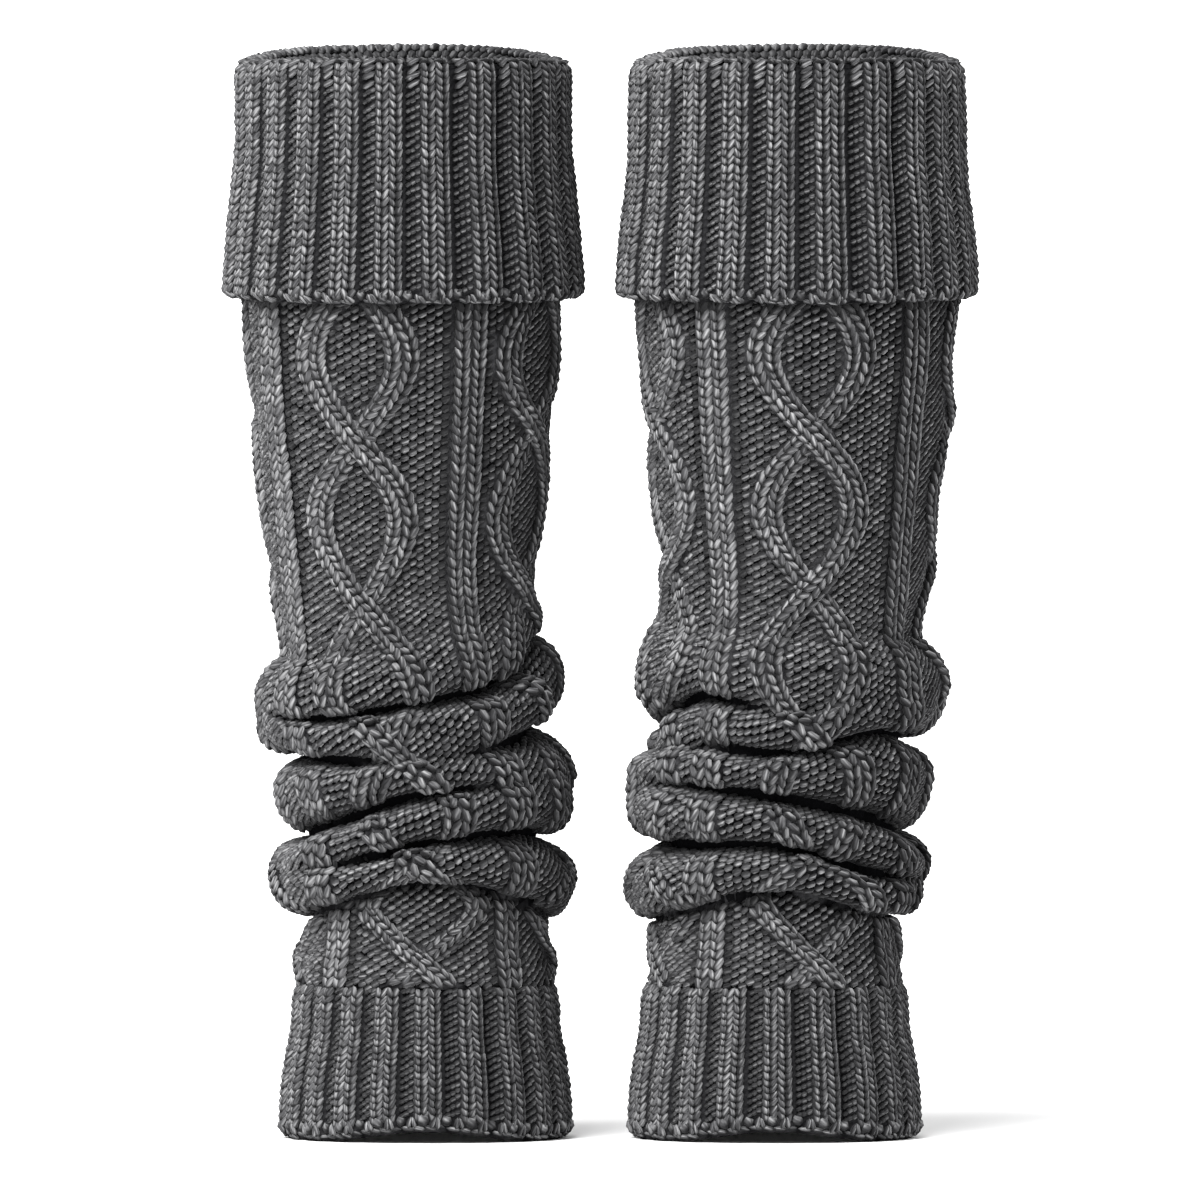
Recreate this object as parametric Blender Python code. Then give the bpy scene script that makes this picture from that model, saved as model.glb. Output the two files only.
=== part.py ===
"""A pair of cable-knit leg warmers that stand filled out, slouched into rolls above the ankle.

Each warmer is knitted in three pieces: a ribbed top cuff that is turned down over the leg, a leg with
four cable panels between four straight ribs, and a ribbed ankle cuff that stands on the floor.
Units are metres, +Z is up and the front faces -Y. Angles round a warmer are in degrees from its front,
positive towards +X. The tables hold millimetres.
"""

import math
from collections import namedtuple

import bpy
import numpy as np

MM = 0.001

# Driving dimensions
PAIR_SPACING = 142.4 * MM  # between the axes of the two top cuffs
DEPTH_SHARE = 0.92  # a warmer's depth, front to back, over its width
WALL = 2.1 * MM  # knitted cloth under its raised stitches
SEAM_GAP = 0.3 * MM

# Leg: its cut, its cables and its ribs
LEG_TOP = 312.0 * MM
LEG_FOOT = 55.5 * MM
FOOT_CROSSING = 5.5 * MM  # of cloth, from the leg's foot up to the last crossing of a cable
HIDDEN_PERIODS = 3  # half turns of a cable from its second crossing to its last
CABLE_SWING = 18.5  # degrees that a strand swings to each side of its panel's middle
STRAND_EDGE = 7.8  # half of a strand's width at its foot, degrees
STRAND_CROWN = 4.4  # half of its width at its top
CABLE_RAISE = 2.5 * MM
RIB_EDGE = 8.6  # the same two half widths of a straight rib
RIB_CROWN = 5.6
RIB_RAISE = 1.9 * MM
PANELS = 4
LEAN = 8.0 * MM  # how far the ankle stands in towards the other warmer
LEAN_FROM, LEAN_TO = 215.0 * MM, 85.0 * MM
SEAM_RAISE = 0.5  # share of the raised stitches' height that is left at the ankle seam
CREASE_FLATTENS = 8.0 * MM  # a groove this deep hides the raised stitches at its bottom

# Rolls of the slouch
PINCH = 0.85  # how flat a roll lies against its neighbour beside a groove
FULL_PINCH_AT = 8.0 * MM  # of depth
DROOP = 0.30  # how far a roll's crest sags for its depth
GROOVE_ROUND = 0.12

# Top cuff: two plies of one rib, folded at the top
CUFF_RIBS = 24
CUFF_RIB_RAISE = 2.3 * MM
FOLD_HEIGHT = 385.4 * MM  # the middle of the fold's round
FOLD_RADIUS = 55.4 * MM
FOLD_ROUND = 4.9 * MM
RIM_RISE = 3.4 * MM  # the rim stands this much higher at front and back than at the sides
PLY_INNER = 53.6 * MM  # inside of the inner ply
PLY_GAP = 0.5 * MM
PLIES_MEET = 355.0 * MM  # the plies part below this height and above it
FOLD_SPACE = (53.4 * MM, 56.4 * MM)  # inner and outer radius of the space inside the fold
FOLD_SPACE_TOP = 387.4 * MM
HEM_INSIDE = 60.2 * MM  # the hem stands clear of the leg's cables
HEM_INSIDE_TOP = 313.0 * MM
CUFF_SEAM = LEG_TOP + SEAM_GAP

# Ankle cuff
ANKLE_RIBS = 22
ANKLE_RIB_RAISE = 1.9 * MM
HEM_LIFT = 6.0 * MM  # the hem's front arches off the floor
HEM_LIFT_REACH = 52.0

# Columns of the solids
LEG_INSIDE_COLUMNS = 26
CUFF_INSIDE_COLUMNS = 24
ANKLE_INSIDE_COLUMNS = 22
TUBE_RINGS = 15  # down the plain leg
ROLL_TOP_SHARES = (0.0, 0.38, 0.74)  # rings from a groove down to the next crest
ROLL_UNDER_SHARES = (0.0, 0.45)  # rings from a crest down to the next groove
END_MARGIN = 1e-6  # keeps the last ring's place within the leg's last stretch

YARN_GREY = (0.075, 0.075, 0.08, 1.0)

# The leg's ground above the rolls: height and radius
Ring = namedtuple("Ring", "height radius")
TUBE_TABLE = (
    Ring(312.0, 55.7),
    Ring(290.0, 54.7),
    Ring(268.0, 52.8),
    Ring(246.0, 50.9),
    Ring(224.5, 48.5),
    Ring(206.0, 46.6),
)

# The leg's ground below the rolls
FOOT_TABLE = (
    Ring(71.0, 42.6),
    Ring(62.0, 45.0),
    Ring(55.5, 45.5),
)

# The turned-down ply's ground: height and radius
CUFF_TABLE = (
    Ring(304.6, 61.3),
    Ring(306.4, 62.4),
    Ring(312.0, 62.7),
    Ring(355.0, 58.5),
    Ring(378.0, 58.3),
)

# The ankle cuff's ground: height over its length, and radius
ANKLE_TABLE = (
    Ring(0.0, 49.0),
    Ring(1.6, 50.1),
    Ring(7.0, 50.3),
    Ring(18.0, 49.8),
    Ring(29.0, 48.2),
    Ring(40.0, 46.2),
    Ring(55.2, 45.5),
)

# Angles at which the roll tables give each line of the slouch, from the top
STATIONS = (-90, -45, 0, 45, 90, 135, 180, 225)
RollLine = namedtuple("RollLine", "kind heights radii")
LEFT_ROLLS = (
    RollLine("neck", heights=(173, 174, 180, 188, 197, 193, 184, 177),
             radii=(44.0, 46.0, 47.0, 46.5, 46.0, 46.5, 46.5, 45.5)),
    RollLine("crest", heights=(158, 160, 166.5, 175, 191, 184, 172, 163),
             radii=(54.0, 53.0, 51.0, 50.0, 46.4, 48.5, 51.5, 53.0)),
    RollLine("groove", heights=(154, 154, 160, 167.2, 185, 176.5, 164, 157),
             radii=(54.0, 44.0, 40.0, 39.0, 44.2, 42.0, 42.0, 50.0)),
    RollLine("crest", heights=(151.5, 148, 151.5, 158, 168, 163, 154, 150),
             radii=(54.0, 53.0, 52.5, 53.5, 54.5, 54.0, 53.5, 54.0)),
    RollLine("groove", heights=(138.5, 139, 138, 145, 148.5, 148, 141, 138),
             radii=(41.0, 42.0, 50.5, 46.0, 41.0, 41.0, 43.0, 42.0)),
    RollLine("crest", heights=(125, 130, 133.5, 133.5, 133, 135, 132, 126),
             radii=(50.0, 52.0, 52.5, 54.0, 54.5, 54.5, 53.0, 51.5)),
    RollLine("groove", heights=(109, 116, 127, 130, 127.5, 126, 122, 113),
             radii=(42.5, 41.0, 41.0, 53.5, 55.6, 50.0, 42.0, 41.0)),
    RollLine("crest", heights=(101, 105.5, 118.5, 124, 121.5, 116, 111.5, 105),
             radii=(52.5, 52.5, 53.5, 55.0, 55.6, 54.5, 54.0, 53.5)),
    RollLine("groove", heights=(97.5, 100, 109, 113, 106, 104, 102, 98.5),
             radii=(53.0, 49.0, 41.0, 40.5, 42.5, 41.0, 43.0, 49.0)),
    RollLine("crest", heights=(92, 94, 102, 99.5, 91, 93, 93.5, 92.5),
             radii=(52.5, 53.0, 53.0, 53.0, 53.0, 53.5, 53.5, 53.5)),
    RollLine("groove", heights=(77.5, 86.5, 95, 88.5, 78.5, 81.5, 84.5, 81),
             radii=(39.5, 41.5, 41.5, 42.0, 45.0, 42.5, 41.0, 40.0)),
)
RIGHT_ROLLS = (
    RollLine("neck", heights=(187, 185, 182, 181, 179, 181, 186, 188),
             radii=(46.5, 46.5, 46.5, 46.0, 44.0, 45.5, 46.5, 46.5)),
    RollLine("crest", heights=(166, 171, 171, 169, 164, 167, 172, 169),
             radii=(55.0, 52.0, 51.5, 53.0, 54.5, 53.5, 52.5, 53.0)),
    RollLine("groove", heights=(146, 162, 156, 161, 161, 160, 157, 151),
             radii=(43.5, 40.5, 49.0, 53.0, 54.3, 50.0, 43.0, 41.0)),
    RollLine("crest", heights=(142.5, 152, 150.5, 156, 158, 154, 149, 145),
             radii=(45.5, 48.5, 52.5, 54.0, 54.0, 53.5, 52.0, 47.0)),
    RollLine("groove", heights=(139.5, 143.5, 142.3, 149.5, 144.5, 143.5, 140.5, 139),
             radii=(47.5, 47.0, 41.0, 41.0, 41.0, 41.5, 43.0, 46.5)),
    RollLine("crest", heights=(133, 136.5, 135.5, 137, 130.5, 133, 132.5, 133),
             radii=(53.5, 51.5, 53.0, 53.5, 52.0, 53.0, 53.5, 53.5)),
    RollLine("groove", heights=(127.5, 129.5, 125.6, 118.4, 110, 117, 124, 127),
             radii=(54.0, 45.0, 41.0, 41.0, 43.0, 42.0, 45.0, 51.0)),
    RollLine("crest", heights=(119.5, 119, 116.5, 107.5, 99, 106.5, 114, 118),
             radii=(54.0, 54.0, 53.5, 53.5, 53.5, 54.0, 54.0, 54.0)),
    RollLine("groove", heights=(105, 107, 108.5, 98.8, 94, 96.5, 101, 103.5),
             radii=(43.0, 41.5, 41.0, 42.0, 52.0, 48.0, 42.0, 41.5)),
    RollLine("crest", heights=(91, 94, 100.5, 91, 89.5, 90.5, 91, 90.5),
             radii=(53.5, 52.5, 53.5, 53.0, 51.0, 52.5, 53.5, 53.5)),
    RollLine("groove", heights=(76.5, 84, 91, 84, 77.5, 79.5, 80.5, 77.5),
             radii=(44.0, 41.5, 41.5, 41.5, 41.0, 41.0, 40.5, 42.0)),
)

# The angle of the front cable's middle, how far the rolls twist the cloth round, and how far the cable's
# first and second crossings lie below the leg's top
Warmer = namedtuple("Warmer", "name side cable_angle twist crossings rolls")
WARMERS = (
    Warmer("left", -1, -19.0, 20.0, (55.5 * MM, 113.8 * MM), LEFT_ROLLS),
    Warmer("right", 1, 6.0, 13.0, (53.4 * MM, 108.8 * MM), RIGHT_ROLLS),
)


def clear_scene():
    for item in list(bpy.data.objects):
        bpy.data.objects.remove(item, do_unlink=True)


def ease(share):
    """A smooth step from 0 to 1."""
    share = np.clip(share, 0.0, 1.0)
    return share * share * (3.0 - 2.0 * share)


def cubic(before, start, end, after, share):
    """A curve from start to end that leaves and arrives as its neighbours lead."""
    slope_in, slope_out = (end - before) / 2, (after - start) / 2
    gone, gone_2, gone_3 = share, share**2, share**3
    return (
        start * (2 * gone_3 - 3 * gone_2 + 1)
        + slope_in * (gone_3 - 2 * gone_2 + gone)
        + end * (3 * gone_2 - 2 * gone_3)
        + slope_out * (gone_3 - gone_2)
    )


def round_leg(values, angles):
    """A station table read at any angles, smoothly and closed all round."""
    table = np.asarray(values, float)
    place = (np.asarray(angles, float) - STATIONS[0]) / (360 / len(STATIONS))
    index = np.floor(place).astype(int)
    at = [table[(index + step) % len(STATIONS)] for step in (-1, 0, 1, 2)]
    return cubic(*at, place - index)


def leg_knots(rolls, angles):
    """Height and radius of every line of the leg at the angles, from its top edge to its foot."""
    level = np.ones_like(angles, dtype=float)
    heights = [height * level for height, _ in TUBE_TABLE]
    radii = [radius * level for _, radius in TUBE_TABLE]
    heights += [round_leg(line.heights, angles) for line in rolls]
    radii += [round_leg(line.radii, angles) for line in rolls]
    heights += [height * level for height, _ in FOOT_TABLE]
    radii += [radius * level for _, radius in FOOT_TABLE]
    return np.array(heights) * MM, np.array(radii) * MM


def leg_curve(rolls, angles, place):
    """Radius and height of the leg's ground at a place along its lines, for each angle.

    The place counts the lines of leg_knots: 2.5 is half way between the third and the fourth.
    """
    heights, radii = leg_knots(rolls, angles)
    last = len(heights) - 1
    first = min(int(place), last - 1)
    share = place - first
    roll_start, roll_end = len(TUBE_TABLE), len(TUBE_TABLE) + len(rolls)
    if not roll_start <= first < roll_end:
        around = [min(max(first + step, 0), last) for step in (-1, 0, 1, 2)]
        radius = cubic(*(radii[i] for i in around), share)
        height = cubic(*(heights[i] for i in around), share)
        return radius, height
    upward = (first - roll_start) % 2 == 0  # an even line of the rolls is a neck or a groove
    groove, crest = (first, first + 1) if upward else (first + 1, first)
    share = share if upward else 1.0 - share
    depth = radii[crest] - radii[groove]
    swell = math.sin(math.pi / 2 * share)
    swell = math.hypot(swell, GROOVE_ROUND) - GROOVE_ROUND
    swell /= math.hypot(1.0, GROOVE_ROUND) - GROOVE_ROUND
    pinch = PINCH * np.clip(depth / FULL_PINCH_AT, 0.0, 1.0)
    rise = (1.0 - pinch) * share + pinch * (1.0 - math.cos(math.pi / 2 * share))
    sag = DROOP * np.maximum(depth, 0.0)
    radius = radii[groove] + depth * swell
    height = heights[groove] + (heights[crest] + sag - heights[groove]) * rise - sag * swell
    return radius, height


def leg_frame(rolls, angles, place):
    """The leg's ground and its outward direction, both as radius and height."""
    step = 0.01
    last = len(TUBE_TABLE) + len(rolls) + len(FOOT_TABLE) - 1
    above = leg_curve(rolls, angles, max(place - step, 0.0))
    below = leg_curve(rolls, angles, min(place + step, last - END_MARGIN))
    run, fall = below[0] - above[0], below[1] - above[1]
    length = np.hypot(run, fall)
    return *leg_curve(rolls, angles, place), -fall / length, run / length


def in_space(side, angles, radius, height):
    """Points of a warmer from their angle, radius and height."""
    turn = np.radians(angles)
    lean = LEAN * ease((LEAN_FROM - height) / (LEAN_FROM - LEAN_TO))
    across = side * (PAIR_SPACING / 2 - lean) + radius * np.sin(turn)
    back = -DEPTH_SHARE * radius * np.cos(turn)
    return np.stack([across, back, height + 0.0 * across], axis=-1)


def face_strip(upper, lower):
    """Faces between two closed rings of point numbers, where upper may have a few times more points."""
    faces = []
    share = len(upper) // len(lower)
    for j, low in enumerate(lower):
        low_next = lower[(j + 1) % len(lower)]
        span = [upper[(j * share + i) % len(upper)] for i in range(share + 1)]
        if share == 1:
            faces.append((span[0], low, low_next, span[1]))
            continue
        middle = share // 2
        faces += [(span[i], low, span[i + 1]) for i in range(middle)]
        faces.append((span[middle], low, low_next))
        faces += [(span[i], low_next, span[i + 1]) for i in range(middle, share)]
    return faces


def knitted_solid(name, outside, inside):
    """A closed wall: rings down the outside, then back up the inside, all round a hollow."""
    points, rings = [], []
    for ring in list(outside) + list(reversed(inside)):
        rings.append(list(range(len(points), len(points) + len(ring))))
        points += [tuple(point) for point in ring]
    faces = []
    for upper, lower in zip(rings, rings[1:] + rings[:1]):
        if len(upper) >= len(lower):
            faces += face_strip(upper, lower)
        else:
            faces += [tuple(reversed(face)) for face in face_strip(lower, upper)]
    mesh = bpy.data.meshes.new(name)
    mesh.from_pydata(points, [], faces)
    mesh.materials.append(yarn_material())
    mesh.shade_smooth()
    item = bpy.data.objects.new(name, mesh)
    bpy.context.scene.collection.objects.link(item)
    return item


def yarn_material():
    material = bpy.data.materials.get("charcoal_yarn")
    if material is None:
        material = bpy.data.materials.new("charcoal_yarn")
        material.use_nodes = True
        shader = material.node_tree.nodes["Principled BSDF"]
        shader.inputs["Base Color"].default_value = YARN_GREY
        shader.inputs["Roughness"].default_value = 0.95
        shader.inputs["Metallic"].default_value = 0.0
    return material


def cable_columns(swing):
    """Angles and raised shares of one panel's columns, where a strand is this far from the middle."""
    apart = abs(swing)
    inner_edge, inner_crown = max(apart - STRAND_EDGE, 0.7), max(apart - STRAND_CROWN, 1.8)
    merged = float(ease((STRAND_EDGE + 2.0 - apart) / STRAND_EDGE))
    right = [(inner_edge, merged), (inner_crown, 1.0)]
    right += [(apart + STRAND_CROWN, 1.0), (apart + STRAND_EDGE, 0.0)]
    left = [(-angle, raised) for angle, raised in reversed(right)]
    return left + [(0.0, merged)] + right


def rib_columns():
    """Angles and raised shares of the straight rib between two panels."""
    middle = 180.0 / PANELS
    edges = ((-RIB_EDGE, 0.0), (-RIB_CROWN, 1.0), (RIB_CROWN, 1.0), (RIB_EDGE, 0.0))
    return [(middle + angle, raised) for angle, raised in edges]


def leg_places(rolls):
    """Where the leg's rings lie along its lines."""
    rolls_from, rolls_to = len(TUBE_TABLE), len(TUBE_TABLE) + len(rolls) - 1
    places = [ring * rolls_from / TUBE_RINGS for ring in range(TUBE_RINGS)]
    for line in range(rolls_from, rolls_to):
        from_groove = (line - rolls_from) % 2 == 0
        places += [line + share for share in (ROLL_TOP_SHARES if from_groove else ROLL_UNDER_SHARES)]
    foot = rolls_to + len(FOOT_TABLE) - END_MARGIN
    return places + [rolls_to, rolls_to + 0.4, rolls_to + 1.0, rolls_to + 2.0, foot]


def inside_places(places):
    """The places of the wall's inside rings: fewer than outside on the plain leg and on a roll's top."""
    rolled = [place for place in places if place >= len(TUBE_TABLE)]
    kept = [place for place in rolled if not math.isclose(place - int(place), ROLL_TOP_SHARES[-1])]
    return list(range(len(TUBE_TABLE))) + kept


def cloth_lengths(rolls, angles, places):
    """Length of cloth from the leg's top edge to each place, with the same total at every angle."""
    ground = [leg_curve(rolls, angles, place) for place in places]
    steps = [np.hypot(b[0] - a[0], b[1] - a[1]) for a, b in zip(ground, ground[1:])]
    lengths = np.concatenate([[np.zeros_like(angles)], np.cumsum(steps, axis=0)])
    return lengths * (lengths[-1].mean() / lengths[-1])


def in_crease(rolls, angles, place):
    """1 at the bottom of a deep groove and 0 on a crest or on the plain leg, for each angle."""
    line = place - len(TUBE_TABLE)
    if not 1.0 < line < len(rolls):
        return np.zeros_like(angles)
    radii = leg_knots(rolls, angles)[1]
    groove = len(TUBE_TABLE) + min(2 * round(line / 2), len(rolls) - 1)
    depth = np.maximum(radii[groove - 1], radii[groove + 1]) - radii[groove]
    return np.clip(depth / CREASE_FLATTENS, 0.0, 1.0) * (0.5 + 0.5 * math.cos(math.pi * line))


def cloth_twist(twist, rolls, place):
    """How far round the cloth has turned at a place, in degrees."""
    return twist * float(ease((place - len(TUBE_TABLE) + 2.0) / len(rolls)))


def cable_swing(down, crossings, cloth):
    """How far a cable's strands lie from their panel's middle, in degrees, this far down the cloth."""
    first, second = crossings
    if down < second:
        half_turns = (down - first) / (second - first)
    else:
        half_turns = 1.0 + HIDDEN_PERIODS * (down - second) / (cloth - FOOT_CROSSING - second)
    return CABLE_SWING * math.sin(math.pi * half_turns)


def make_leg(warmer):
    """The leg: cables and ribs are raised on the outside of a wall whose inside is plain."""
    side, rolls = warmer.side, warmer.rolls
    round_all = np.linspace(0.0, 360.0, 72, endpoint=False)
    places = leg_places(rolls)
    lengths = cloth_lengths(rolls, round_all, places)
    outside = []
    for place, length in zip(places, lengths):
        ring = []
        for panel in range(PANELS):
            turned = cloth_twist(warmer.twist, rolls, place)
            middle = warmer.cable_angle + panel * 360.0 / PANELS + turned
            down = np.interp(middle % 360.0, round_all, length, period=360.0)
            swing = cable_swing(down, warmer.crossings, lengths[-1][0])
            ring += [(middle + angle, CABLE_RAISE * raised) for angle, raised in cable_columns(swing)]
            ring += [(middle + angle, RIB_RAISE * raised) for angle, raised in rib_columns()]
        angles, raise_by = np.array(ring).T
        radius, height, out, up = leg_frame(rolls, angles, place)
        raise_by = raise_by * (1.0 - in_crease(rolls, angles, place))
        if place == places[-1]:
            raise_by = raise_by * SEAM_RAISE
        outside.append(in_space(side, angles, radius + out * raise_by, height + up * raise_by))
    plain_angles = warmer.cable_angle + np.linspace(-45.0, 315.0, LEG_INSIDE_COLUMNS, endpoint=False)
    inside = []
    for place in inside_places(places):
        angles = plain_angles + cloth_twist(warmer.twist, rolls, place)
        radius, height, out, up = leg_frame(rolls, angles, place)
        inside.append(in_space(side, angles, radius - WALL * out, height - WALL * up))
    for edge, ring in ((LEG_TOP, 0), (LEG_FOOT, -1)):
        outside[ring][:, 2] = edge
        inside[ring][:, 2] = edge
    return knitted_solid(f"{warmer.name}_leg", outside, inside)


def rib_ring(ribs):
    """Angles and raised shares round a ribbed cuff: each rib's two edges and the middle of its valley."""
    period = 360.0 / ribs
    columns = ((-0.24, 1.0), (0.24, 1.0), (0.5, 0.0))
    ring = [(period * (rib + share), raised) for rib in range(ribs) for share, raised in columns]
    return np.array(ring).T


def rim_rise(angles, share):
    """How much higher the rim stands than at the warmer's sides."""
    return RIM_RISE * share * np.cos(np.radians(angles)) ** 2


def make_top_cuff(warmer):
    """The top cuff: one ribbed strip that runs up the inside, over the fold and down the outside."""
    angles, raised = rib_ring(CUFF_RIBS)
    plain_angles = np.linspace(0.0, 360.0, CUFF_INSIDE_COLUMNS, endpoint=False)
    span = FOLD_HEIGHT - CUFF_TABLE[0][0] * MM

    def ring(at, radius, height, raise_by=0.0):
        rise = rim_rise(at, np.clip((height - CUFF_TABLE[0][0] * MM) / span, 0.0, 1.0) ** 2)
        return in_space(warmer.side, at, radius + raise_by, height + rise)

    outside = []
    for turn, at in ((180, plain_angles), (130, plain_angles), (90, angles), (45, angles)):
        across, up = math.cos(math.radians(turn)), math.sin(math.radians(turn))
        rib_raise = CUFF_RIB_RAISE * raised * max(across, 0.0) if at is angles else 0.0
        outside.append(ring(at, FOLD_RADIUS + FOLD_ROUND * across, FOLD_HEIGHT + FOLD_ROUND * up, rib_raise))
    for height, radius in reversed(CUFF_TABLE[1:]):
        outside.append(ring(angles, radius * MM, height * MM, CUFF_RIB_RAISE * raised))
    hem_height, hem_radius = CUFF_TABLE[0]
    outside.append(ring(angles, hem_radius * MM, hem_height * MM, 0.5 * CUFF_RIB_RAISE * raised))

    inside = [
        ring(plain_angles, PLY_INNER, CUFF_SEAM),
        ring(plain_angles, PLY_INNER + WALL, CUFF_SEAM),
        ring(plain_angles, FOLD_SPACE[0], FOLD_SPACE_TOP),
        ring(plain_angles, FOLD_SPACE[1], FOLD_SPACE_TOP),
        ring(plain_angles, PLY_INNER + WALL + PLY_GAP, PLIES_MEET),
        ring(plain_angles, HEM_INSIDE, HEM_INSIDE_TOP),
        ring(plain_angles, HEM_INSIDE, hem_height * MM),
    ]
    return knitted_solid(f"{warmer.name}_top_cuff", outside, inside)


def hem_lift(angles):
    """Height of the hem over the floor: 0 but for the arch at the front."""
    off_front = np.abs((np.asarray(angles, float) + 180.0) % 360.0 - 180.0)
    return HEM_LIFT * ease((HEM_LIFT_REACH - off_front) / HEM_LIFT_REACH)


def make_ankle_cuff(warmer):
    """The ankle cuff: a ribbed tube whose hem rests on the floor at the sides and the back."""
    angles, raised = rib_ring(ANKLE_RIBS)
    plain_angles = np.linspace(0.0, 360.0, ANKLE_INSIDE_COLUMNS, endpoint=False)
    top = LEG_FOOT - SEAM_GAP

    def ring(at, radius, height, raise_by=0.0):
        lift = hem_lift(at) * (1.0 - height / top)
        return in_space(warmer.side, at, radius + raise_by, height + lift)

    outside = []
    for number, (height, radius) in enumerate(reversed(ANKLE_TABLE)):
        rib_share = SEAM_RAISE if number in (0, len(ANKLE_TABLE) - 1) else 1.0
        height = min(height * MM, top)
        outside.append(ring(angles, radius * MM, height, ANKLE_RIB_RAISE * rib_share * raised))
    inside = []
    for height, radius in (ANKLE_TABLE[-1], ANKLE_TABLE[4], ANKLE_TABLE[0]):
        inside.append(ring(plain_angles, radius * MM - WALL, min(height * MM, top)))
    return knitted_solid(f"{warmer.name}_ankle_cuff", outside, inside)


def main():
    clear_scene()
    for warmer in WARMERS:
        make_leg(warmer)
        make_top_cuff(warmer)
        make_ankle_cuff(warmer)


main()
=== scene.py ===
# %% [markdown]
# # A pair of cable-knit leg warmers, stitch by stitch
#
# The pair is knitted from thick charcoal yarn: a ribbed cuff that is turned down over the top, a
# leg with four cables between four ribs, slouched into rolls, and a ribbed ankle. This script
# dresses a plain solid model of it. Each of its six solids gets a thin cloth of the same form, and
# thousands of stitches, each a small spindle of yarn, are laid on the cloth by a knitting chart.
#
# The packed model is loaded first. Nothing in it moves: it says where everything goes.

# %% Load the packed pair
import math
from collections import namedtuple

import bpy
import numpy as np
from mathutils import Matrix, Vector


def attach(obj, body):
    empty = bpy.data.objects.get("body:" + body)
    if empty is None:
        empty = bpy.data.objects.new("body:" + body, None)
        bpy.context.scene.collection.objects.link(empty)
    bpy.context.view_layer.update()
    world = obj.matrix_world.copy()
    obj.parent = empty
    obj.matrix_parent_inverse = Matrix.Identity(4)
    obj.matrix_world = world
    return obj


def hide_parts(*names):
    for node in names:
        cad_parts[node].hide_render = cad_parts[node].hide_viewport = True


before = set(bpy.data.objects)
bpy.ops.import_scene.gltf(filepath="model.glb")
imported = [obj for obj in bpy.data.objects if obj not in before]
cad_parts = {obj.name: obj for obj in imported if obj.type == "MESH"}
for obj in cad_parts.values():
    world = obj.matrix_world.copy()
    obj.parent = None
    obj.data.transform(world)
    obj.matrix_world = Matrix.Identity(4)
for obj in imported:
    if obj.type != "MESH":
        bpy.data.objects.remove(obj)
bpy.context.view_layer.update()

# %% [markdown]
# ## The sizes that both warmers follow
#
# The cloth has to lie where the solids are, so it is worked out from the same driving sizes.
# Lengths are in metres, and the tables hold millimetres. Angles round a warmer are in degrees from
# its front, which faces -Y, and positive towards +X. Other sizes come where they are first needed.

# %% Driving sizes
MM = 0.001
PAIR_SPACING = 142.4 * MM  # between the axes of the two top cuffs
DEPTH_SHARE = 0.92  # a warmer's depth over its width
LEG_TOP, LEG_FOOT = 312.0 * MM, 55.5 * MM
LEAN = 8.0 * MM  # how far the ankle stands in towards the other warmer
LEAN_FROM, LEAN_TO = 215.0 * MM, 85.0 * MM

print("a leg is", round((LEG_TOP - LEG_FOOT) / MM), "mm of height between its two cuffs")

# %% [markdown]
# A knitted leg is drawn in steadily towards the ankle, and its foot widens again into the ankle
# cuff. Those two plain parts need only a few rings of height and radius, from the top down.

# %% The plain parts of a leg
Ring = namedtuple("Ring", "height radius")
TUBE_TABLE = (
    Ring(312.0, 55.7),
    Ring(290.0, 54.7),
    Ring(268.0, 52.8),
    Ring(246.0, 50.9),
    Ring(224.5, 48.5),
    Ring(206.0, 46.6),
)
FOOT_TABLE = (
    Ring(71.0, 42.2),
    Ring(62.0, 44.2),
    Ring(55.5, 45.0),
)
narrowing = TUBE_TABLE[0].radius - TUBE_TABLE[-1].radius
print("the leg's radius narrows by", round(narrowing, 1), "mm down to its rolls")
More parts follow.
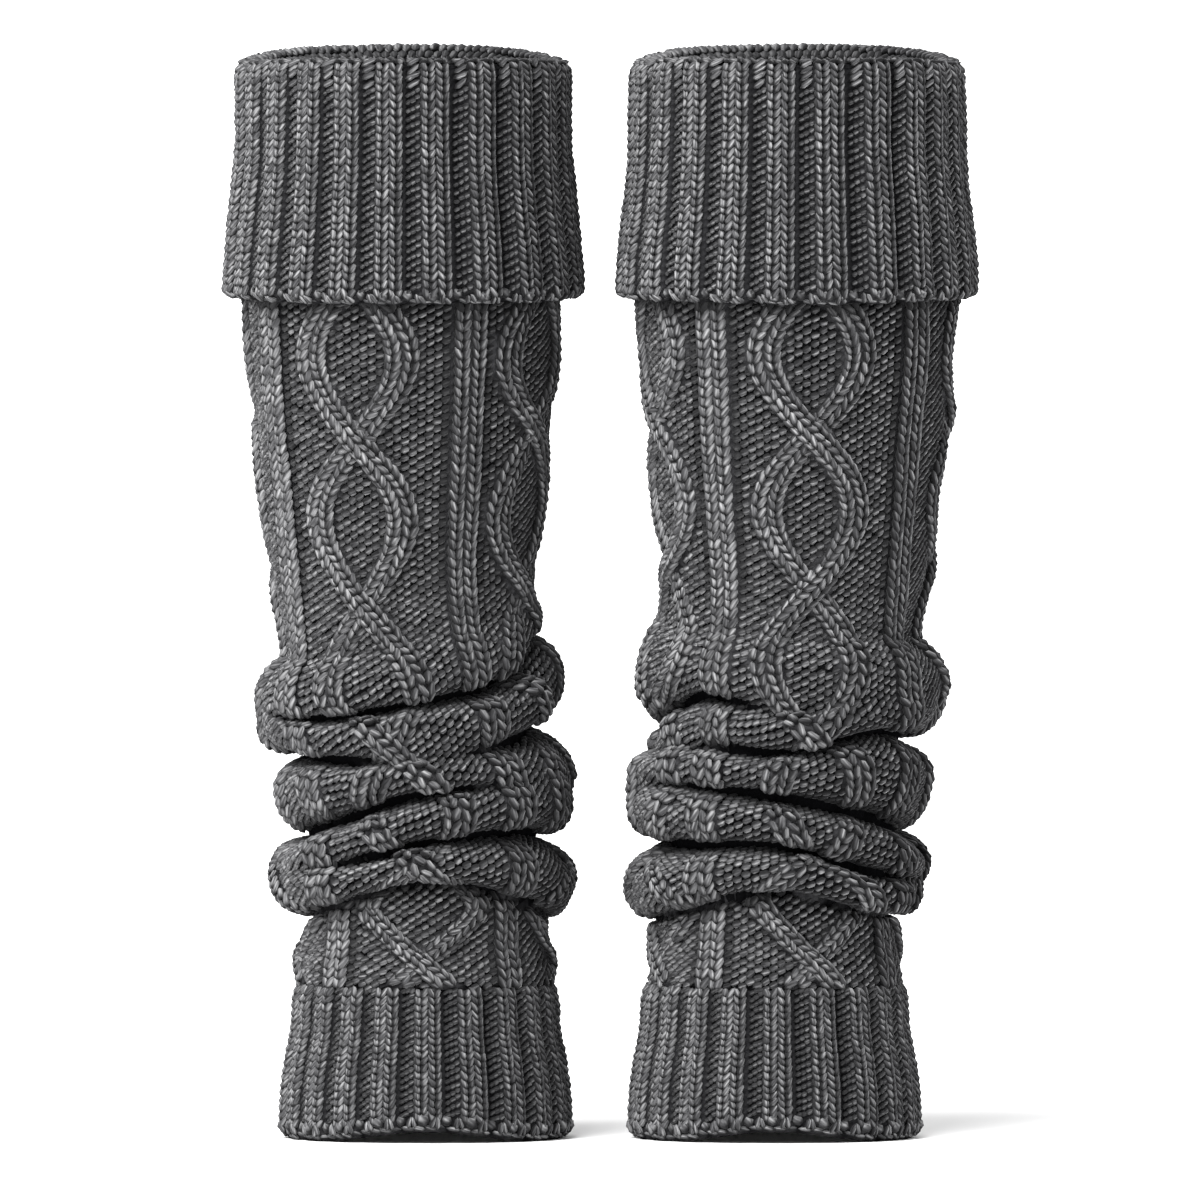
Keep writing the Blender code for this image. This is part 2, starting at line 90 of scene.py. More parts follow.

# %% [markdown]
# Between them the cloth has slipped down into five soft rolls. A slouched tube could be simulated,
# but that is slow and seldom gives the rolls that are wanted, so they are listed instead. Lines run
# round the leg, crests and grooves in turn, and each is given by its height and radius at eight
# stations round it.

# %% The rolls of the left leg
STATIONS = (-90, -45, 0, 45, 90, 135, 180, 225)  # the angles of the tables' columns
RollLine = namedtuple("RollLine", "kind heights radii")
LEFT_ROLLS = (
    RollLine("neck", heights=(173, 174, 180, 188, 197, 193, 184, 177),
             radii=(44.0, 46.0, 47.0, 46.5, 46.0, 46.5, 46.5, 45.5)),
    RollLine("crest", heights=(158, 160, 166.5, 175, 191, 184, 172, 163),
             radii=(54.0, 53.0, 51.0, 50.0, 46.4, 48.5, 51.5, 53.0)),
    RollLine("groove", heights=(154, 154, 160, 167.2, 185, 176.5, 164, 157),
             radii=(54.0, 44.0, 40.0, 39.0, 44.2, 42.0, 42.0, 50.0)),
    RollLine("crest", heights=(151.5, 148, 151.5, 158, 169, 163, 154, 150),
             radii=(54.0, 53.0, 52.5, 53.5, 52.6, 52.5, 53.5, 54.0)),
    RollLine("groove", heights=(139.5, 139, 138, 145, 151.5, 150, 141, 139),
             radii=(41.0, 42.0, 50.5, 46.0, 39.5, 40.0, 43.0, 42.0)),
    RollLine("crest", heights=(125, 130, 133.5, 133.5, 131, 134, 132, 126),
             radii=(50.0, 52.0, 52.5, 54.0, 54.0, 54.0, 53.0, 51.5)),
    RollLine("groove", heights=(110, 116, 127, 130, 127, 126, 122, 113.5),
             radii=(41.5, 41.0, 41.0, 53.5, 53.8, 49.0, 42.0, 41.0)),
    RollLine("crest", heights=(100, 105.5, 118.5, 124, 123, 117, 111.5, 103),
             radii=(51.5, 52.5, 53.5, 55.0, 53.3, 53.5, 54.0, 52.5)),
    RollLine("groove", heights=(97.5, 100, 109, 113, 109.5, 106, 102, 98.5),
             radii=(52.5, 49.0, 41.0, 40.5, 40.5, 40.5, 43.0, 49.0)),
    RollLine("crest", heights=(92, 94, 102, 99.5, 91, 93, 93.5, 92.5),
             radii=(52.5, 53.0, 53.0, 53.0, 52.0, 52.5, 53.5, 53.0)),
    RollLine("groove", heights=(79.5, 86.5, 95, 88.5, 78.5, 81.5, 84.5, 82.5),
             radii=(39.5, 41.5, 41.5, 42.0, 45.0, 42.5, 41.0, 40.0)),
)
print("the left leg has", sum(line.kind == "crest" for line in LEFT_ROLLS), "rolls")

# %% [markdown]
# No two legs slouch alike. The right one has the same number of lines at heights of its own.

# %% The rolls of the right leg
RIGHT_ROLLS = (
    RollLine("neck", heights=(187, 185, 182, 181, 179, 181, 186, 188),
             radii=(46.5, 46.5, 46.5, 46.0, 44.0, 45.5, 46.5, 46.5)),
    RollLine("crest", heights=(166, 171, 171, 169, 164, 167, 172, 169),
             radii=(52.8, 51.5, 51.5, 53.0, 54.5, 53.5, 52.5, 52.0)),
    RollLine("groove", heights=(149, 162, 156, 161, 161, 160, 157, 153),
             radii=(41.5, 40.5, 49.0, 53.0, 54.3, 50.0, 43.0, 40.5)),
    RollLine("crest", heights=(142.5, 152, 150.5, 156, 158, 154, 149, 145),
             radii=(45.5, 48.5, 52.5, 54.0, 54.0, 53.5, 52.0, 47.0)),
    RollLine("groove", heights=(139.5, 143.5, 142.3, 149.5, 144.5, 143.5, 140.5, 139),
             radii=(47.5, 47.0, 41.0, 41.0, 41.0, 41.5, 43.0, 46.5)),
    RollLine("crest", heights=(133, 136.5, 135.5, 137, 130.5, 133, 132.5, 133),
             radii=(52.0, 51.5, 53.0, 53.5, 52.0, 53.0, 53.5, 52.5)),
    RollLine("groove", heights=(127.5, 129.5, 125.6, 118.4, 110, 117, 124, 127),
             radii=(52.2, 45.0, 41.0, 41.0, 43.0, 42.0, 45.0, 50.0)),
    RollLine("crest", heights=(121, 120, 116.5, 107.5, 99, 106.5, 114, 119),
             radii=(51.8, 53.0, 53.5, 53.5, 53.5, 54.0, 53.5, 52.5)),
    RollLine("groove", heights=(109, 108, 108.5, 98.8, 94, 96.5, 101, 106),
             radii=(40.5, 41.0, 41.0, 42.0, 52.0, 48.0, 42.0, 41.0)),
    RollLine("crest", heights=(91.5, 94, 100.5, 91, 89.5, 90.5, 91, 91),
             radii=(51.6, 52.0, 53.5, 53.0, 51.0, 52.5, 53.0, 52.0)),
    RollLine("groove", heights=(79, 84, 91, 84, 81, 82.5, 81.5, 79),
             radii=(42.5, 41.5, 41.5, 41.5, 41.0, 41.0, 40.5, 41.5)),
)
print("the right leg has", sum(line.kind == "crest" for line in RIGHT_ROLLS), "rolls")

# %% [markdown]
# The two warmers are knitted to one pattern and pulled on a little differently. One row for each
# says where its front cable stands, how far the cloth is twisted by its foot, at which lengths of
# cloth (in millimetres) the strands cross, and how far one rib and one side cable are pulled aside,
# in degrees.

# %% The two warmers
Warmer = namedtuple(
    "Warmer", "name side cable_angle twist crossings pulled side_cable rolls steady_cross"
)
WARMERS = (
    Warmer(
        "left", side=-1, cable_angle=-19.0, twist=17.0, crossings=(55.5, 113.8, 178.0, 249.0),
        pulled=(4.0, 0.0), side_cable=(1, -9.0), rolls=LEFT_ROLLS, steady_cross=False,
    ),
    Warmer(
        "right", side=1, cable_angle=6.0, twist=13.0, crossings=(52.4, 107.4, 161.0, 239.0),
        pulled=(5.0, -6.0), side_cable=(3, 12.0), rolls=RIGHT_ROLLS, steady_cross=True,
    ),
)
for warmer in WARMERS:
    print("the", warmer.name, "warmer's cables cross at", warmer.crossings, "mm of cloth")

# %% [markdown]
# ## Where the cloth lies
#
# The tables are read smoothly. A cubic curve through four neighbours passes through every value
# with no corner, and the stations close round the leg. A straight line between them would show as
# flats.


# %% Read a table with no corners
def ease(share):
    """A smooth step from 0 to 1."""
    share = np.clip(share, 0.0, 1.0)
    return share * share * (3.0 - 2.0 * share)


def cubic(before, start, end, after, share):
    """A curve from start to end that leaves and arrives as its neighbours lead."""
    slope_in, slope_out = (end - before) / 2, (after - start) / 2
    gone, gone_2, gone_3 = share, share**2, share**3
    return (
        start * (2 * gone_3 - 3 * gone_2 + 1)
        + slope_in * (gone_3 - 2 * gone_2 + gone)
        + end * (3 * gone_2 - 2 * gone_3)
        + slope_out * (gone_3 - gone_2)
    )


def round_leg(values, angles):
    """A station table read at any angles, smoothly and closed all round."""
    table = np.asarray(values, float)
    place = (np.asarray(angles, float) - STATIONS[0]) / (360 / len(STATIONS))
    index = np.floor(place).astype(int)
    at = [table[(index + step) % len(STATIONS)] for step in (-1, 0, 1, 2)]
    return cubic(*at, place - index)


between_stations = float(round_leg(LEFT_ROLLS[1].heights, 22.5))
print("between two stations, the left leg's first crest is", round(between_stations), "mm up")

# %% [markdown]
# From one line to the next the cloth follows a quarter of a wave. It is pinched close beside a
# groove and sags a little at a crest, as soft cloth does under its own weight.


# %% The leg's ground between its lines
PINCH, FULL_PINCH_AT = 0.85, 8.0 * MM  # how close cloth lies beside a groove that is this deep
DROOP = 0.30  # a crest's sag, as a share of the groove's depth
GROOVE_ROUND = 0.12  # keeps the bottom of a groove from coming to a point


def leg_knots(rolls, angles):
    """Height and radius of every line of the leg at the angles, from its top edge to its foot."""
    level = np.ones_like(angles, dtype=float)
    heights = [height * level for height, _ in TUBE_TABLE]
    radii = [radius * level for _, radius in TUBE_TABLE]
    heights += [round_leg(line.heights, angles) for line in rolls]
    radii += [round_leg(line.radii, angles) for line in rolls]
    heights += [height * level for height, _ in FOOT_TABLE]
    radii += [radius * level for _, radius in FOOT_TABLE]
    return np.array(heights) * MM, np.array(radii) * MM


def leg_curve(rolls, angles, place):
    """Radius and height of the leg's ground at a place along its lines, for each angle."""
    heights, radii = leg_knots(rolls, angles)
    last = len(heights) - 1
    first = min(int(place), last - 1)
    share = place - first
    roll_start, roll_end = len(TUBE_TABLE), len(TUBE_TABLE) + len(rolls)
    if not roll_start <= first < roll_end:
        around = [min(max(first + step, 0), last) for step in (-1, 0, 1, 2)]
        return tuple(cubic(*(knots[i] for i in around), share) for knots in (radii, heights))
    upward = (first - roll_start) % 2 == 0
    groove, crest = (first, first + 1) if upward else (first + 1, first)
    share = share if upward else 1.0 - share
    depth = radii[crest] - radii[groove]
    swell = math.hypot(math.sin(math.pi / 2 * share), GROOVE_ROUND) - GROOVE_ROUND
    swell /= math.hypot(1.0, GROOVE_ROUND) - GROOVE_ROUND
    pinch = PINCH * np.clip(depth / FULL_PINCH_AT, 0.0, 1.0)
    rise = (1.0 - pinch) * share + pinch * (1.0 - math.cos(math.pi / 2 * share))
    sag = DROOP * np.maximum(depth, 0.0)
    radius = radii[groove] + depth * swell
    height = heights[groove] + (heights[crest] + sag - heights[groove]) * rise - sag * swell
    return radius, height


def in_space(side, angles, radius, height):
    """Points of a warmer from their angle, radius and height."""
    turn = np.radians(angles)
    lean = LEAN * ease((LEAN_FROM - height) / (LEAN_FROM - LEAN_TO))
    across = side * (PAIR_SPACING / 2 - lean) + radius * np.sin(turn)
    back = -DEPTH_SHARE * radius * np.cos(turn)
    return np.stack([across, back, height + 0.0 * across], axis=-1)


crest_radius, crest_height = leg_curve(LEFT_ROLLS, np.array([0.0]), len(TUBE_TABLE) + 1)
crest_front = in_space(-1, 0.0, crest_radius[0], crest_height[0])[1]
print("the front of that crest is", round(-crest_front / MM), "mm before the warmer's axis")

# %% [markdown]
# ## Cloth that can be measured
#
# Knitting is counted in columns and rows, so the cloth is stored unrolled: a grid of points by the
# angle of a column and the length of cloth down it. With it goes a little frame at each point,
# which way is down the column, round the warmer and out of the cloth. A stitch can then be laid
# anywhere by angle and length.


# %% A tube of cloth by angle and length
COLUMN_STEP = 2.0  # degrees between the grid's columns
ROW_STEP = 0.5 * MM
FRAME_BLURS = 4  # so that the way out of the cloth turns smoothly over a tight fold


def unit(vectors):
    """The same directions, each one long."""
    return vectors / np.linalg.norm(vectors, axis=-1, keepdims=True)


class Cloth:
    """A knitted tube: points, a frame and any other fields, by column angle and length down."""

    def __init__(self, rings, dents=None, **fields):
        steps = np.linalg.norm(np.diff(rings, axis=0), axis=2)
        down = np.vstack([np.zeros(steps.shape[1]), np.cumsum(steps, axis=0)])
        self.length = float(down[-1].mean())
        down *= self.length / down[-1]
        self.grid_down = np.linspace(0.0, self.length, int(self.length / ROW_STEP) + 1)
        self.points = self.by_length(down, rings)
        self.fields = {
            name: self.by_length(down, value[..., None])[..., 0] for name, value in fields.items()
        }
        self.fields.setdefault("crease", np.zeros(self.points.shape[:2]))
        self.find_frame()
        if dents is not None:
            angles = np.arange(self.points.shape[1]) * COLUMN_STEP
            self.points += self.out * dents(angles[None, :], self.grid_down[:, None])[..., None]
            self.find_frame()

    def by_length(self, down, rings):
        """Values of the rings read again at even lengths down every column."""
        table = np.empty((len(self.grid_down), *rings.shape[1:]))
        for column in range(rings.shape[1]):
            for part in range(rings.shape[2]):
                value = rings[:, column, part]
                table[:, column, part] = np.interp(self.grid_down, down[:, column], value)
        return table

    def find_frame(self):
        """Which way is down the cloth and out of it, and how wide a degree is, at every point."""
        down = np.gradient(self.points, axis=0)
        around = np.roll(self.points, -1, axis=1) - np.roll(self.points, 1, axis=1)
        self.stretch = np.linalg.norm(around, axis=2) / (2 * COLUMN_STEP)  # metres to a degree
        out = np.cross(down, around)
        for _ in range(FRAME_BLURS):
            out[1:-1] = (out[:-2] + 2 * out[1:-1] + out[2:]) / 4
        self.out = unit(out)
        along = down - self.out * (down * self.out).sum(axis=2, keepdims=True)
        self.down = unit(along)

    def read(self, table, angle, down):
        """A table of the grid at any angles and lengths."""
        across = (np.asarray(angle, float) % 360.0) / COLUMN_STEP
        column = np.floor(across).astype(int)
        side = across - column
        rows, columns = table.shape[:2]
        below = np.clip(np.asarray(down, float) / self.length * (rows - 1), 0.0, rows - 1.001)
        row = np.floor(below).astype(int)
        drop = below - row
        if table.ndim == 3:
            side, drop = side[..., None], drop[..., None]
        left, right = column % columns, (column + 1) % columns
        upper = table[row, left] * (1 - side) + table[row, right] * side
        lower = table[row + 1, left] * (1 - side) + table[row + 1, right] * side
        return upper * (1 - drop) + lower * drop


print("a cloth keeps a point at every", round(COLUMN_STEP), "degrees and", ROW_STEP / MM, "mm")

# %% [markdown]
# A hand-knitted tube is never quite even. Shallow waves of a few tenths of a millimetre run through
# it. They have whole numbers of waves round the leg and a fixed seed, so the cloth closes on itself
# and comes out the same each time. Noise laid over the mesh would have to be joined at the tube's
# back.


# %% Soft unevenness
DENT_WAVES = 9
MOST_ROUND = 7  # fewer waves than this fit round the leg
STEEPEST = 160  # radians to a metre down the cloth
WAVES_REACH = 3  # all the waves together seldom add up to more


def shallow_dents(seed, depth):
    """Soft uneven waves over a cloth, as a function of angle and length."""
    dice = np.random.default_rng(seed)
    waves = [
        (
            dice.integers(1, MOST_ROUND), dice.uniform(-STEEPEST, STEEPEST),
            dice.uniform(0, 2 * math.pi), dice.uniform(0.4, 1.0),
        )
        for _ in range(DENT_WAVES)
    ]

    def dents(angle, down):
        turn = np.radians(angle)
        total = sum(
            share * np.sin(count * turn + slope * down + phase)
            for count, slope, phase, share in waves
        )
        return depth * total / WAVES_REACH

    return dents


LEG_DENT = 0.55 * MM
dent = shallow_dents(0, LEG_DENT)(np.arange(360.0), 0.0)
print("a leg's dents are up to", round(np.abs(dent).max() / MM, 1), "mm deep round its top")

# %% [markdown]
# The legs' cloth comes from those lines, ring by ring. Where two rolls press on each other the
# cloth also keeps how deep in the crease it lies, because stitches there are flattened, get painted
# shade, and at last are hidden.


# %% Unroll the legs
LEG_SAMPLES = 900
LEG_SEED = 11
CREASE_FLATTENS = 8.0 * MM  # a groove this deep is a full crease
CREASE_SHARP = 1.3
LAST_CREASE = 0.35  # how far the last crease reaches down, as a share of the way to the next line
END_MARGIN = 1e-6


def cloth_twist(twist, rolls, place):
    """How far round the cloth has turned at a place, in degrees."""
    return twist * float(ease((place - len(TUBE_TABLE) + 2.0) / len(rolls)))


def in_crease(rolls, angles, place):
    """1 at the bottom of a deep groove and 0 on a crest or on the plain leg, for each angle."""
    line = place - len(TUBE_TABLE)
    last = len(rolls) - 1
    if not 1.0 < line < last + LAST_CREASE:
        return np.zeros_like(angles)
    radii = leg_knots(rolls, angles)[1]
    groove = min(2 * round(line / 2), last)
    off = (line - last) / LAST_CREASE if line > last else line - groove
    groove += len(TUBE_TABLE)
    depth = np.maximum(radii[groove - 1], radii[groove + 1]) - radii[groove]
    near = (0.5 + 0.5 * math.cos(math.pi * off)) ** CREASE_SHARP
    return np.clip(depth / CREASE_FLATTENS, 0.0, 1.0) * near


def leg_cloth(warmer):
    """A warmer's leg, unrolled."""
    angles = np.arange(0.0, 360.0, COLUMN_STEP)
    last = len(TUBE_TABLE) + len(warmer.rolls) + len(FOOT_TABLE) - 1
    rings, creases = [], []
    for place in np.linspace(0.0, last - END_MARGIN, LEG_SAMPLES):
        turned = angles + cloth_twist(warmer.twist, warmer.rolls, place)
        radius, height = leg_curve(warmer.rolls, turned, place)
        rings.append(in_space(warmer.side, turned, radius, height))
        creases.append(in_crease(warmer.rolls, turned, place))
    dents = shallow_dents(LEG_SEED + warmer.side, LEG_DENT)
    return Cloth(np.array(rings), dents, crease=np.array(creases))


leg_cloths = {warmer.name: leg_cloth(warmer) for warmer in WARMERS}
for name, cloth in leg_cloths.items():
    height = round((LEG_TOP - LEG_FOOT) / MM)
    print(name, "leg:", round(cloth.length / MM), "mm of cloth in", height, "mm of height")

# %% [markdown]
# ## Cables and ribs
#
# A cable is two strands of knit columns that swing from side to side and pass over each other. A
# sine of the half turns done so far gives the swing, and the half turns are counted from the
# lengths at which the strands cross, so that each eye may be as long as it is on the real pair.
# Straight ribs run between the cables.


# %% Where the strands and the ribs run
PANELS = 4
CABLE_SWING = 18.5  # degrees that a strand swings to each side of its cable's middle
FOOT_CROSSING = 9.0 * MM  # of cloth, from the leg's foot up to the last crossing of a cable
FOOT_WIDER, FOOT_WIDE_OVER = 0.5, 62.0 * MM  # a cable's last eye, above the ankle, is wider
FOOT_WIDENS_IN = 0.3  # of that length
FOOT_SHARP = 0.96  # 1 would give that eye straight sides
PULL_FROM, PULL_OVER = 0.4, 0.4  # shares of the leg's length where a pull aside starts to change


def wrapped(angle):
    """The same angle from -180 to 180."""
    return (np.asarray(angle) + 180.0) % 360.0 - 180.0


def half_turns(warmer, cloth, down):
    """Half turns of a cable down to a length: whole at each crossing."""
    at = [crossing * MM for crossing in warmer.crossings] + [cloth.length - FOOT_CROSSING]
    at = [2 * at[0] - at[1], *at, 2 * at[-1] - at[-2]]
    return np.interp(down, at, np.arange(-1, len(at) - 1))


def strand_swing(warmer, cloth, down, strand):
    """How far a strand is from its cable's middle: a round swing, wider and sharper at the foot."""
    turns = np.sin(math.pi * half_turns(warmer, cloth, down))
    foot = ease((down - cloth.length + FOOT_WIDE_OVER) / (FOOT_WIDENS_IN * FOOT_WIDE_OVER))
    sharp = np.arcsin(FOOT_SHARP * turns) / math.asin(FOOT_SHARP)
    return strand * CABLE_SWING * (turns + foot * ((1.0 + FOOT_WIDER) * sharp - turns))


def cable_middle(warmer, cloth, panel, down):
    """The middle of a panel's cable. One side cable is pulled to the front, and back at the foot."""
    side_panel, pull = warmer.side_cable
    back = ease((down / cloth.length - PULL_FROM) / PULL_OVER)
    pulled = pull * (1.0 - back) if panel == side_panel else 0.0
    return warmer.cable_angle + panel * 360.0 / PANELS + pulled


def rib_angle(warmer, cloth, panel, down):
    """The middle of the straight rib that follows a panel. The last rib is pulled aside."""
    top, foot = warmer.pulled if panel % PANELS == PANELS - 1 else (0.0, 0.0)
    pulled = top + (foot - top) * ease((down / cloth.length - PULL_FROM) / PULL_OVER)
    return warmer.cable_angle + (panel + 0.5) * 360.0 / PANELS + pulled


eye = np.diff(WARMERS[0].crossings)
print("the eyes of a left cable are", ", ".join(f"{length:.0f}" for length in eye), "mm long")

# %% [markdown]
# At a crossing one strand lies in front. On the left warmer that is whichever strand runs down to
# the right, and on the right warmer it is the same strand every time. The front one is lifted and
# the other one sinks, both over a short way, because yarn is too thick to cross without it.


# %% Which strand is in front
OVER_LIFT, UNDER_SINK = 1.5 * MM, 1.2 * MM  # of the strand in front and of the one behind
CROSSING_REACH = 0.17  # of a half turn


def front_strand(warmer, turns):
    """Which strand, 1 or -1, passes in front at the crossing nearest to these half turns."""
    if warmer.steady_cross:
        return np.ones_like(turns)
    return np.where(np.round(turns) % 2 == 0, 1.0, -1.0)


def crossing_lift(warmer, cloth, down, strand):
    """How much higher a strand lies because it crosses the other one."""
    turns = half_turns(warmer, cloth, down)
    near = np.exp(-(((turns - np.round(turns)) / CROSSING_REACH) ** 2))
    return near * np.where(front_strand(warmer, turns) == strand, OVER_LIFT, -UNDER_SINK)


for warmer in WARMERS:
    at_crossings = front_strand(warmer, np.arange(len(warmer.crossings)))
    print(warmer.name, "strand in front at each crossing:", at_crossings.astype(int).tolist())

# %% [markdown]
# The relief says how far the knit stands off the purled ground, which is the lowest. A strand is
# round in section and a rib is flat on top, and both have a groove between their two wales. Higher
# forms hide lower ones, so the highest at each point counts.

# %% The relief of a leg
STRAND_EDGE = 7.8  # half a strand's width, degrees
CABLE_RAISE = 2.8 * MM
RIB_EDGE, RIB_CROWN = 8.4, 5.6  # a straight rib's half widths at its foot and its top, degrees
RIB_RAISE = 1.9 * MM
WALE_GROOVE, GROOVE_HALF = 0.5 * MM, 0.9  # between two wales: depth, and half the width in degrees
CREASE_FLAT = 0.8  # share of the relief that a full crease takes away
SEAM_RAISE, SEAM_FADE = 0.5, 12.0 * MM  # share of the relief left at the ankle's seam, and its fade


def strand_form(off):
    """Share of a strand's height this far from its middle, in degrees."""
    return np.sqrt(np.clip(1.0 - (off / STRAND_EDGE) ** 2, 0.0, 1.0))


def rib_form(off):
    """Share of a rib's height this far from its middle."""
    return ease((RIB_EDGE - np.abs(off)) / (RIB_EDGE - RIB_CROWN))


def wale_groove(off):
    """Depth of the groove between two wales."""
    return WALE_GROOVE * np.exp(-((off / GROOVE_HALF) ** 2))


def leg_relief(warmer, cloth):
    """How far the leg's knit stands off its ground, as a function of angle and length."""

    def relief(angle, down):
        raised = np.zeros(np.broadcast(angle, down).shape)
        for panel in range(PANELS):
            off = wrapped(angle - cable_middle(warmer, cloth, panel, down))
            for strand in (1, -1):
                from_strand = off - strand_swing(warmer, cloth, down, strand)
                form = strand_form(from_strand)
                lift = crossing_lift(warmer, cloth, down, strand) * form**0.5
                groove = wale_groove(from_strand) * (form > 0)
                raised = np.maximum(raised, CABLE_RAISE * form + lift - groove)
            from_rib = wrapped(angle - rib_angle(warmer, cloth, panel, down))
            raised = np.maximum(raised, RIB_RAISE * rib_form(from_rib) - wale_groove(from_rib))
        flat = 1.0 - CREASE_FLAT * cloth.read(cloth.fields["crease"], angle, down)
        above_seam = np.clip((cloth.length - down) / SEAM_FADE, 0.0, 1.0)
        seam = SEAM_RAISE + (1.0 - SEAM_RAISE) * above_seam
        return np.maximum(raised, 0.0) * flat * seam

    return relief


def level_relief(angle, down):
    """The purl lies on the ground itself, even beside a strand."""
    return np.zeros(np.broadcast(angle, down).shape)


leg_reliefs = {warmer.name: leg_relief(warmer, leg_cloths[warmer.name]) for warmer in WARMERS}
for warmer in WARMERS:
    crossing = leg_reliefs[warmer.name](warmer.cable_angle, warmer.crossings[0] * MM)
    print(warmer.name, "front cable:", round(crossing / MM, 1), "mm high at its first crossing")

# %% [markdown]
# ## The turned-down cuff
#
# The cuff is one ribbed strip. It starts inside at the seam with the leg, runs up, folds over the
# top and comes down outside to its hem. Because it is one strip, the side that shows stays the same
# all the way, so one path of radius and height round the fold gives all of it.

# %% The path of the top cuff
SEAM_GAP = 0.3 * MM
FOLD_HEIGHT, FOLD_RADIUS, FOLD_ROUND = 384.3 * MM, 55.0 * MM, 4.7 * MM
FOLD_TURNS = (180, 150, 120, 90, 67, 45)  # degrees round the fold, from its inside to its outside
INNER_PLY = ((53.6 * MM, LEG_TOP + SEAM_GAP), (52.1 * MM, 350.0 * MM))  # radius and height
CUFF_TABLE = (
    Ring(304.6, 60.4),
    Ring(306.4, 61.6),
    Ring(312.0, 62.7),
    Ring(355.0, 58.5),
    Ring(378.0, 58.3),
)
PATH_SAMPLES, PATH_STEPS = 400, 24  # along the whole path, and between two of its knots


def smooth_path(knots):
    """Radius and height all along a path through the knots, with no corners."""
    knots = np.array(knots, float)
    fine = []
    for first in range(len(knots) - 1):
        around = [knots[min(max(first + step, 0), len(knots) - 1)] for step in (-1, 0, 1, 2)]
        shares = np.linspace(0.0, 1.0, PATH_STEPS, endpoint=False)
        fine += [cubic(*around, share) for share in shares]
    fine = np.array(fine + [knots[-1]])
    gone = np.concatenate([[0.0], np.cumsum(np.linalg.norm(np.diff(fine, axis=0), axis=1))])
    at = np.linspace(0.0, gone[-1], PATH_SAMPLES)
    return np.stack([np.interp(at, gone, fine[:, part]) for part in (0, 1)], axis=1)


def cuff_path():
    """Radius and height of the whole strip, from the seam inside to the hem outside."""
    fold = [
        (FOLD_RADIUS + FOLD_ROUND * math.cos(turn), FOLD_HEIGHT + FOLD_ROUND * math.sin(turn))
        for turn in np.radians(FOLD_TURNS)
    ]
    down = [(radius * MM, height * MM) for height, radius in reversed(CUFF_TABLE)]
    return smooth_path([*INNER_PLY, *fold, *down])


print("the fold's top is", round(cuff_path()[:, 1].max() / MM), "mm up")

# %% [markdown]
# The ribs of a cuff aren't evenly spaced. They are drawn aside where the cloth below pulls at them,
# so one small table for each cuff says how far a rib strays at a few angles. The column angles are
# turned by it before the cloth is laid out, and so the ribs, their relief and their stitches all
# stray together.

# %% How the ribs of a cuff stray
WANDER_BLUR = (-12.0, -6.0, 0.0, 6.0, 12.0)  # degrees over which the tables are averaged
CUFF_WANDER = {
    "left": (
        (-55, -6.1), (-40, -5.7), (-10, -5.3), (5, -5.0), (20, -3.8), (35, 0.6), (50, 2.2),
        (65, 2.9), (120, 1.0), (180, -1.5), (240, -4.5),
    ),
    "right": (
        (-55, -12.0), (-40, -9.6), (-25, -7.9), (-10, -6.6), (5, -5.0), (20, -2.8), (35, 1.6),
        (50, 1.7), (66, 0.0), (120, -2.0), (180, -6.0), (240, -10.0),
    ),
}
ANKLE_WANDER = {
    "left": (
        (-60, -3.2), (-43, -2.5), (-27, -2.1), (-11, -0.8), (5, 1.6), (22, 5.5), (38, 7.5),
        (60, 7.0), (120, 4.0), (180, 1.0), (240, -2.0),
    ),
    "right": (
        (-60, -6.0), (-43, -4.7), (-27, -3.8), (-11, -1.5), (5, 2.2), (22, 7.5), (38, 9.5),
        (60, 8.5), (120, 4.0), (180, 0.0), (240, -4.0),
    ),
}


def rib_wander(table, angles):
    """How far the ribs stray round the warmer, in degrees."""
    at, shift = np.array(table).T
    near = [np.interp(angles + step, at, shift, period=360.0) for step in WANDER_BLUR]
    return np.mean(near, axis=0)


for name, table in CUFF_WANDER.items():
    most = np.ptp([shift for _, shift in table])
    print(name, "cuff: the ribs stray by", round(most, 1), "degrees in all")

# %% [markdown]
# The top cuff's path is swept round the warmer. Its rim is a little higher at front and back than
# at the sides, where the turned cloth pulls it down.

# %% Unroll the top cuffs
CUFF_SEED, CUFF_DENT = 31, 0.35 * MM
RIM_RISE = 3.4 * MM  # the rim stands this much higher at front and back than at the sides
SIDES_NARROW = 6  # the higher this power, the shorter the low part of the rim at each side


def cuff_cloth(warmer):
    """A warmer's top cuff, unrolled from the seam inside to the hem."""
    angles = np.arange(0.0, 360.0, COLUMN_STEP)
    turned = angles + rib_wander(CUFF_WANDER[warmer.name], angles)
    hem = CUFF_TABLE[0].height * MM
    rings = []
    for radius, height in cuff_path():
        share = np.clip((height - hem) / (FOLD_HEIGHT - hem), 0.0, 1.0) ** 2
        rise = RIM_RISE * share * (1.0 - np.sin(np.radians(turned)) ** SIDES_NARROW)
        rings.append(in_space(warmer.side, turned, radius, height + rise))
    return Cloth(np.array(rings), shallow_dents(CUFF_SEED + warmer.side, CUFF_DENT))


cuff_cloths = {warmer.name: cuff_cloth(warmer) for warmer in WARMERS}
print("a top cuff is a strip of", round(cuff_cloths["left"].length / MM), "mm, folded in two")

# %% [markdown]
# The ankle cuff is a plain ribbed tube that stands on the floor. Its hem would lie flat, but the
# front of it is pulled up a little, so its lower edge arches there.

# %% Unroll the ankle cuffs
HEM_LIFT, HEM_LIFT_REACH = 4.2 * MM, 52.0  # how high the arch is, and degrees to each side
ANKLE_TABLE = (
    Ring(0.0, 49.5),
    Ring(1.6, 50.1),
    Ring(7.0, 50.3),
    Ring(18.0, 49.8),
    Ring(29.0, 48.2),
    Ring(40.0, 46.2),
    Ring(55.2, 45.5),
)


